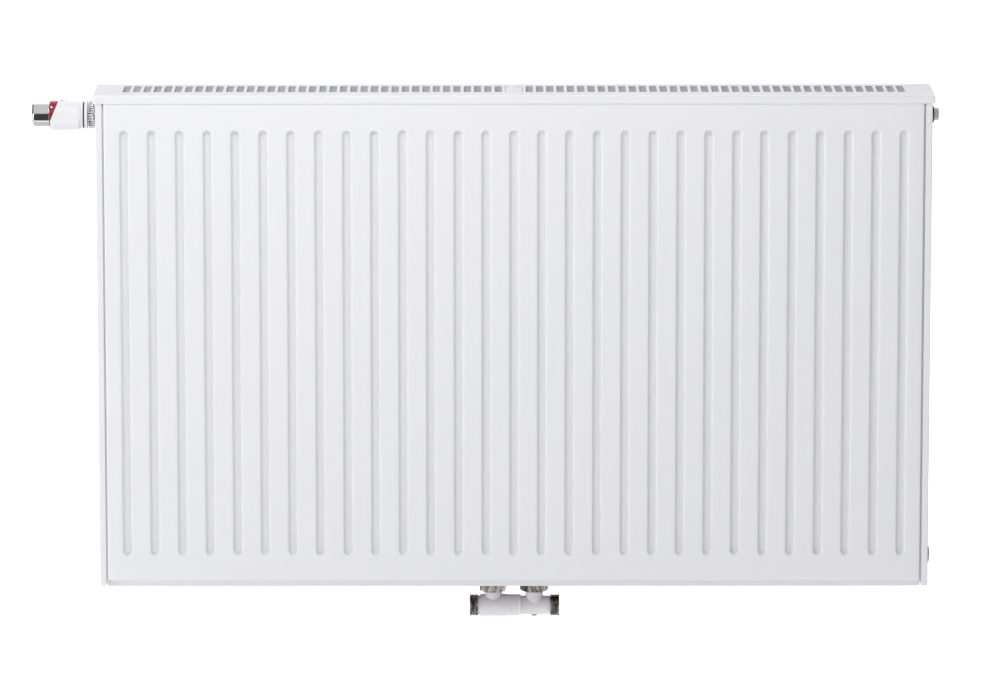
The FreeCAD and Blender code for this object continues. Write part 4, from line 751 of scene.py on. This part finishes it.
valve_spring()
end_cap()
union_nut()
head_sleeve()
setting_ring()
ring_marker()
dial()
base_gap()
soften("head_base", 0.25 * MM)

# -------------------------------------------------------- corner fittings

for small_part in ("vent_plug", "vent_seal", "vent_nozzle", "vent_screw"):
    soften(small_part, 0.2 * MM)
for plug in ("lower_left_plug", "lower_right_plug"):
    soften(plug, 0.25 * MM)

# ---------------------------------------------------------- shut-off block

THREAD_PITCH = 1.814 * MM
THREAD_DEPTH = 1.1 * MM
TAIL_SHANK = 8.92 * MM


def pipe_tail(node, side):
    """A threaded tail: a real helix, worn smooth at its crests."""
    foot, end, radius = reach(node)
    lip = foot + 6.5 * MM
    water, throat, bevel, mouth = 6.2 * MM, 4.7 * MM, 0.9 * MM, 3 * MM
    first, last, run_out = lip + bevel, end - bevel, 0.8 * MM
    count = int((last - first) / THREAD_PITCH * 10)

    def depth_at(station, angle):
        phase = (station / THREAD_PITCH - side * angle / (2 * math.pi)) % 1.0
        valley = 1 - abs(2 * phase - 1)
        fade = smoothstep((station - first) / run_out) * smoothstep((last - station) / run_out)
        return THREAD_DEPTH * smoothstep(valley * 1.5 - 0.35) * fade

    def outline_at(angle):
        outline = [(foot, throat), (foot, TAIL_SHANK), (lip, TAIL_SHANK)]
        outline += [(lip, radius - bevel), (lip + bevel * 0.4, radius - bevel * 0.3)]
        for k in range(count + 1):
            station = first + (last - first) * k / count
            outline.append((station, radius - depth_at(station, angle)))
        outline += [(end - bevel * 0.4, radius - bevel * 0.3), (end, radius - bevel)]
        outline += [(end, water + mouth), (end - mouth, water), (lip, water)]
        return outline + [(lip - 1 * MM, throat)]

    mesh = spin(outline_at, middle(node), side)
    stand_in(node + "_threaded", mesh, node, smooth_below=50)


def collar_beads():
    """Thin raised rings at the collar's two ends: real beads, whose white, paler than the
    lacquer, is painted highlight along the seams.
    """
    low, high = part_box("block_collar")
    radius, half = (high.z - low.z) / 2, 0.75 * MM
    under, over = radius - 1 * MM, radius + 0.3 * MM
    section = [(-half, under), (-half, radius), (-half * 0.5, over)]
    section += [(half * 0.5, over), (half, radius), (half, under)]
    for name, station in (("left", low.x), ("right", high.x)):
        outline = [(station + along, height) for along, height in section]
        mesh = lathe(outline, middle("block_collar"), RIGHT)
        # The rings' paler white is painted highlight along the collar's seams.
        make_piece(f"collar_bead_{name}", mesh, "radiator", "highlight_white")


pipe_tail("left_pipe_connector", LEFT)
pipe_tail("right_pipe_connector", RIGHT)
for part in ("block_left_half", "block_right_half", "block_collar"):
    soften(part, 0.25 * MM)
for part in ("flow_union_nut", "return_union_nut"):
    soften(part, 0.35 * MM)
collar_beads()

# ------------------------------------------------------------------ studio


def area_light(name, place, target, size, power):
    """A white square softbox that looks at a target."""
    lamp = bpy.data.lights.new(name, "AREA")
    lamp.shape = "SQUARE"
    lamp.size = size
    lamp.energy = power
    holder = bpy.data.objects.new(name, lamp)
    holder.location = place
    holder.rotation_euler = (Vector(place) - Vector(target)).to_track_quat("Z", "Y").to_euler()
    SCENE.collection.objects.link(holder)


def stage_sheet(name, mesh, material):
    """A sheet of the studio, which isn't part of the object."""
    data = bpy.data.meshes.new(name)
    mesh.to_mesh(data)
    mesh.free()
    data.materials.append(material)
    sheet = bpy.data.objects.new(name, data)
    SCENE.collection.objects.link(sheet)
    return sheet


def sky():
    """An even pale sky, white along the horizon where it meets the floor."""
    world = bpy.data.worlds.new("studio_sky")
    world.use_nodes = True
    tree = world.node_tree
    place = tree.nodes.new("ShaderNodeTexCoord")
    split = tree.nodes.new("ShaderNodeSeparateXYZ")
    ramp = tree.nodes.new("ShaderNodeValToRGB")
    white_to, grey_from = 0.035, 0.09
    first, last = ramp.color_ramp.elements
    first.position, first.color = white_to, WHITE
    last.position, last.color = grey_from, (0.22, 0.221, 0.226, 1)
    tree.links.new(place.outputs["Generated"], split.inputs["Vector"])
    tree.links.new(split.outputs["Z"], ramp.inputs["Fac"])
    tree.links.new(ramp.outputs["Color"], tree.nodes["Background"].inputs["Color"])
    SCENE.world = world


def floor_material():
    """Pale floor with a little light of its own, more far off, so that it ends in white."""
    material = plain_material("studio_floor", (0.93, 0.93, 0.93), 0.9)
    tree, shader = material.node_tree, shader_of(material)
    place = tree.nodes.new("ShaderNodeTexCoord")
    away = tree.nodes.new("ShaderNodeVectorMath")
    away.operation = "LENGTH"
    glow = tree.nodes.new("ShaderNodeMapRange")
    glow.interpolation_type = "SMOOTHSTEP"
    near, far, faint, bright = 6, 16, 0.31, 0.95
    glow.inputs["From Min"].default_value = near
    glow.inputs["From Max"].default_value = far
    glow.inputs["To Min"].default_value = faint
    glow.inputs["To Max"].default_value = bright
    tree.links.new(place.outputs["Object"], away.inputs[0])
    tree.links.new(away.outputs["Value"], glow.inputs["Value"])
    tree.links.new(glow.outputs["Result"], shader.inputs["Emission Strength"])
    shader.inputs["Emission Color"].default_value = WHITE
    return material


def studio_floor():
    """A wide level floor a little below the object."""
    wide, level = 120, cad_low.z - 0.12
    sides = ((-wide, -wide), (wide, -wide), (wide, wide), (-wide, wide))
    mesh = bmesh.new()
    mesh.faces.new([mesh.verts.new((x, y, level)) for x, y in sides])
    stage_sheet("floor", mesh, floor_material())


def studio():
    """The floor, the sky, a light over the backdrop, and lights from above and the left."""
    studio_floor()
    sky()
    area_light("backdrop", (0, 3.9, 3.6), (0, 3.7, 0), 7.0, 290)
    area_light("key", (-1.7, -2.2, 1.3), (-0.2, 0, 0), 2.2, 10)
    area_light("high", (-0.4, -1.3, 1.6), (-0.2, 0, 0.1), 1.0, 16.5)
    area_light("side", (-4.8, -1.6, 0.2), (0, 0, 0), 1.0, 55)


CARD_RADIUS = 0.45


def head_card(name, first, last, material):
    """A card bent round the head's axis, seen only by reflections.

    It stands in for the studio's screens between two angles in degrees, 0 in
    front of the head and 90 over it.
    """
    ends, steps = (HEAD.x - 0.8, HEAD.x + 0.07), 12
    mesh = bmesh.new()
    lines = []
    for k in range(steps + 1):
        angle = math.radians(first + (last - first) * k / steps)
        lines.append([mesh.verts.new(around(HEAD, x, CARD_RADIUS, angle)) for x in ends])
    for here, there in zip(lines, lines[1:]):
        mesh.faces.new((here[0], here[1], there[1], there[0]))
    card = stage_sheet(name, mesh, material)
    card.visible_camera = False
    card.visible_diffuse = False
    card.visible_shadow = False
    card.visible_transmission = False


def glowing(name, strength):
    """A dark card's material with an even light of its own."""
    material = plain_material(name, (0.02, 0.02, 0.02), 0.9)
    shader = shader_of(material)
    shader.inputs["Emission Color"].default_value = WHITE
    shader.inputs["Emission Strength"].default_value = strength
    material.cycles.emission_sampling = "NONE"
    return material


def head_cards():
    """A dark screen across the front of the head and pale ones round it."""
    grey = glowing("card_grey", 0.68)
    head_card("card_foot", -125, -60, grey)
    head_card("card_low", -60, -50, glowing("card_pale", 1.3))
    head_card("card_dark", -50, 16, glowing("card_black", 0.02))
    head_card("card_high", 16, 125, grey)


def camera():
    """A long lens far off, almost square to the panel and a little above it."""
    azimuth, elevation = math.radians(-0.2), math.radians(9.94)
    distance, lens = 8.0, 238.1
    aim = Vector((-0.0166, -0.058, -0.0054))
    level = math.cos(elevation)
    back = Vector((math.sin(azimuth) * level, -math.cos(azimuth) * level, math.sin(elevation)))
    data = bpy.data.cameras.new("camera")
    data.lens = lens
    data.clip_end = 300
    holder = bpy.data.objects.new("camera", data)
    holder.location = aim + back * distance
    holder.rotation_euler = back.to_track_quat("Z", "Y").to_euler()
    SCENE.collection.objects.link(holder)
    SCENE.camera = holder
    SCENE.view_settings.view_transform = "Standard"


studio()
head_cards()
camera()
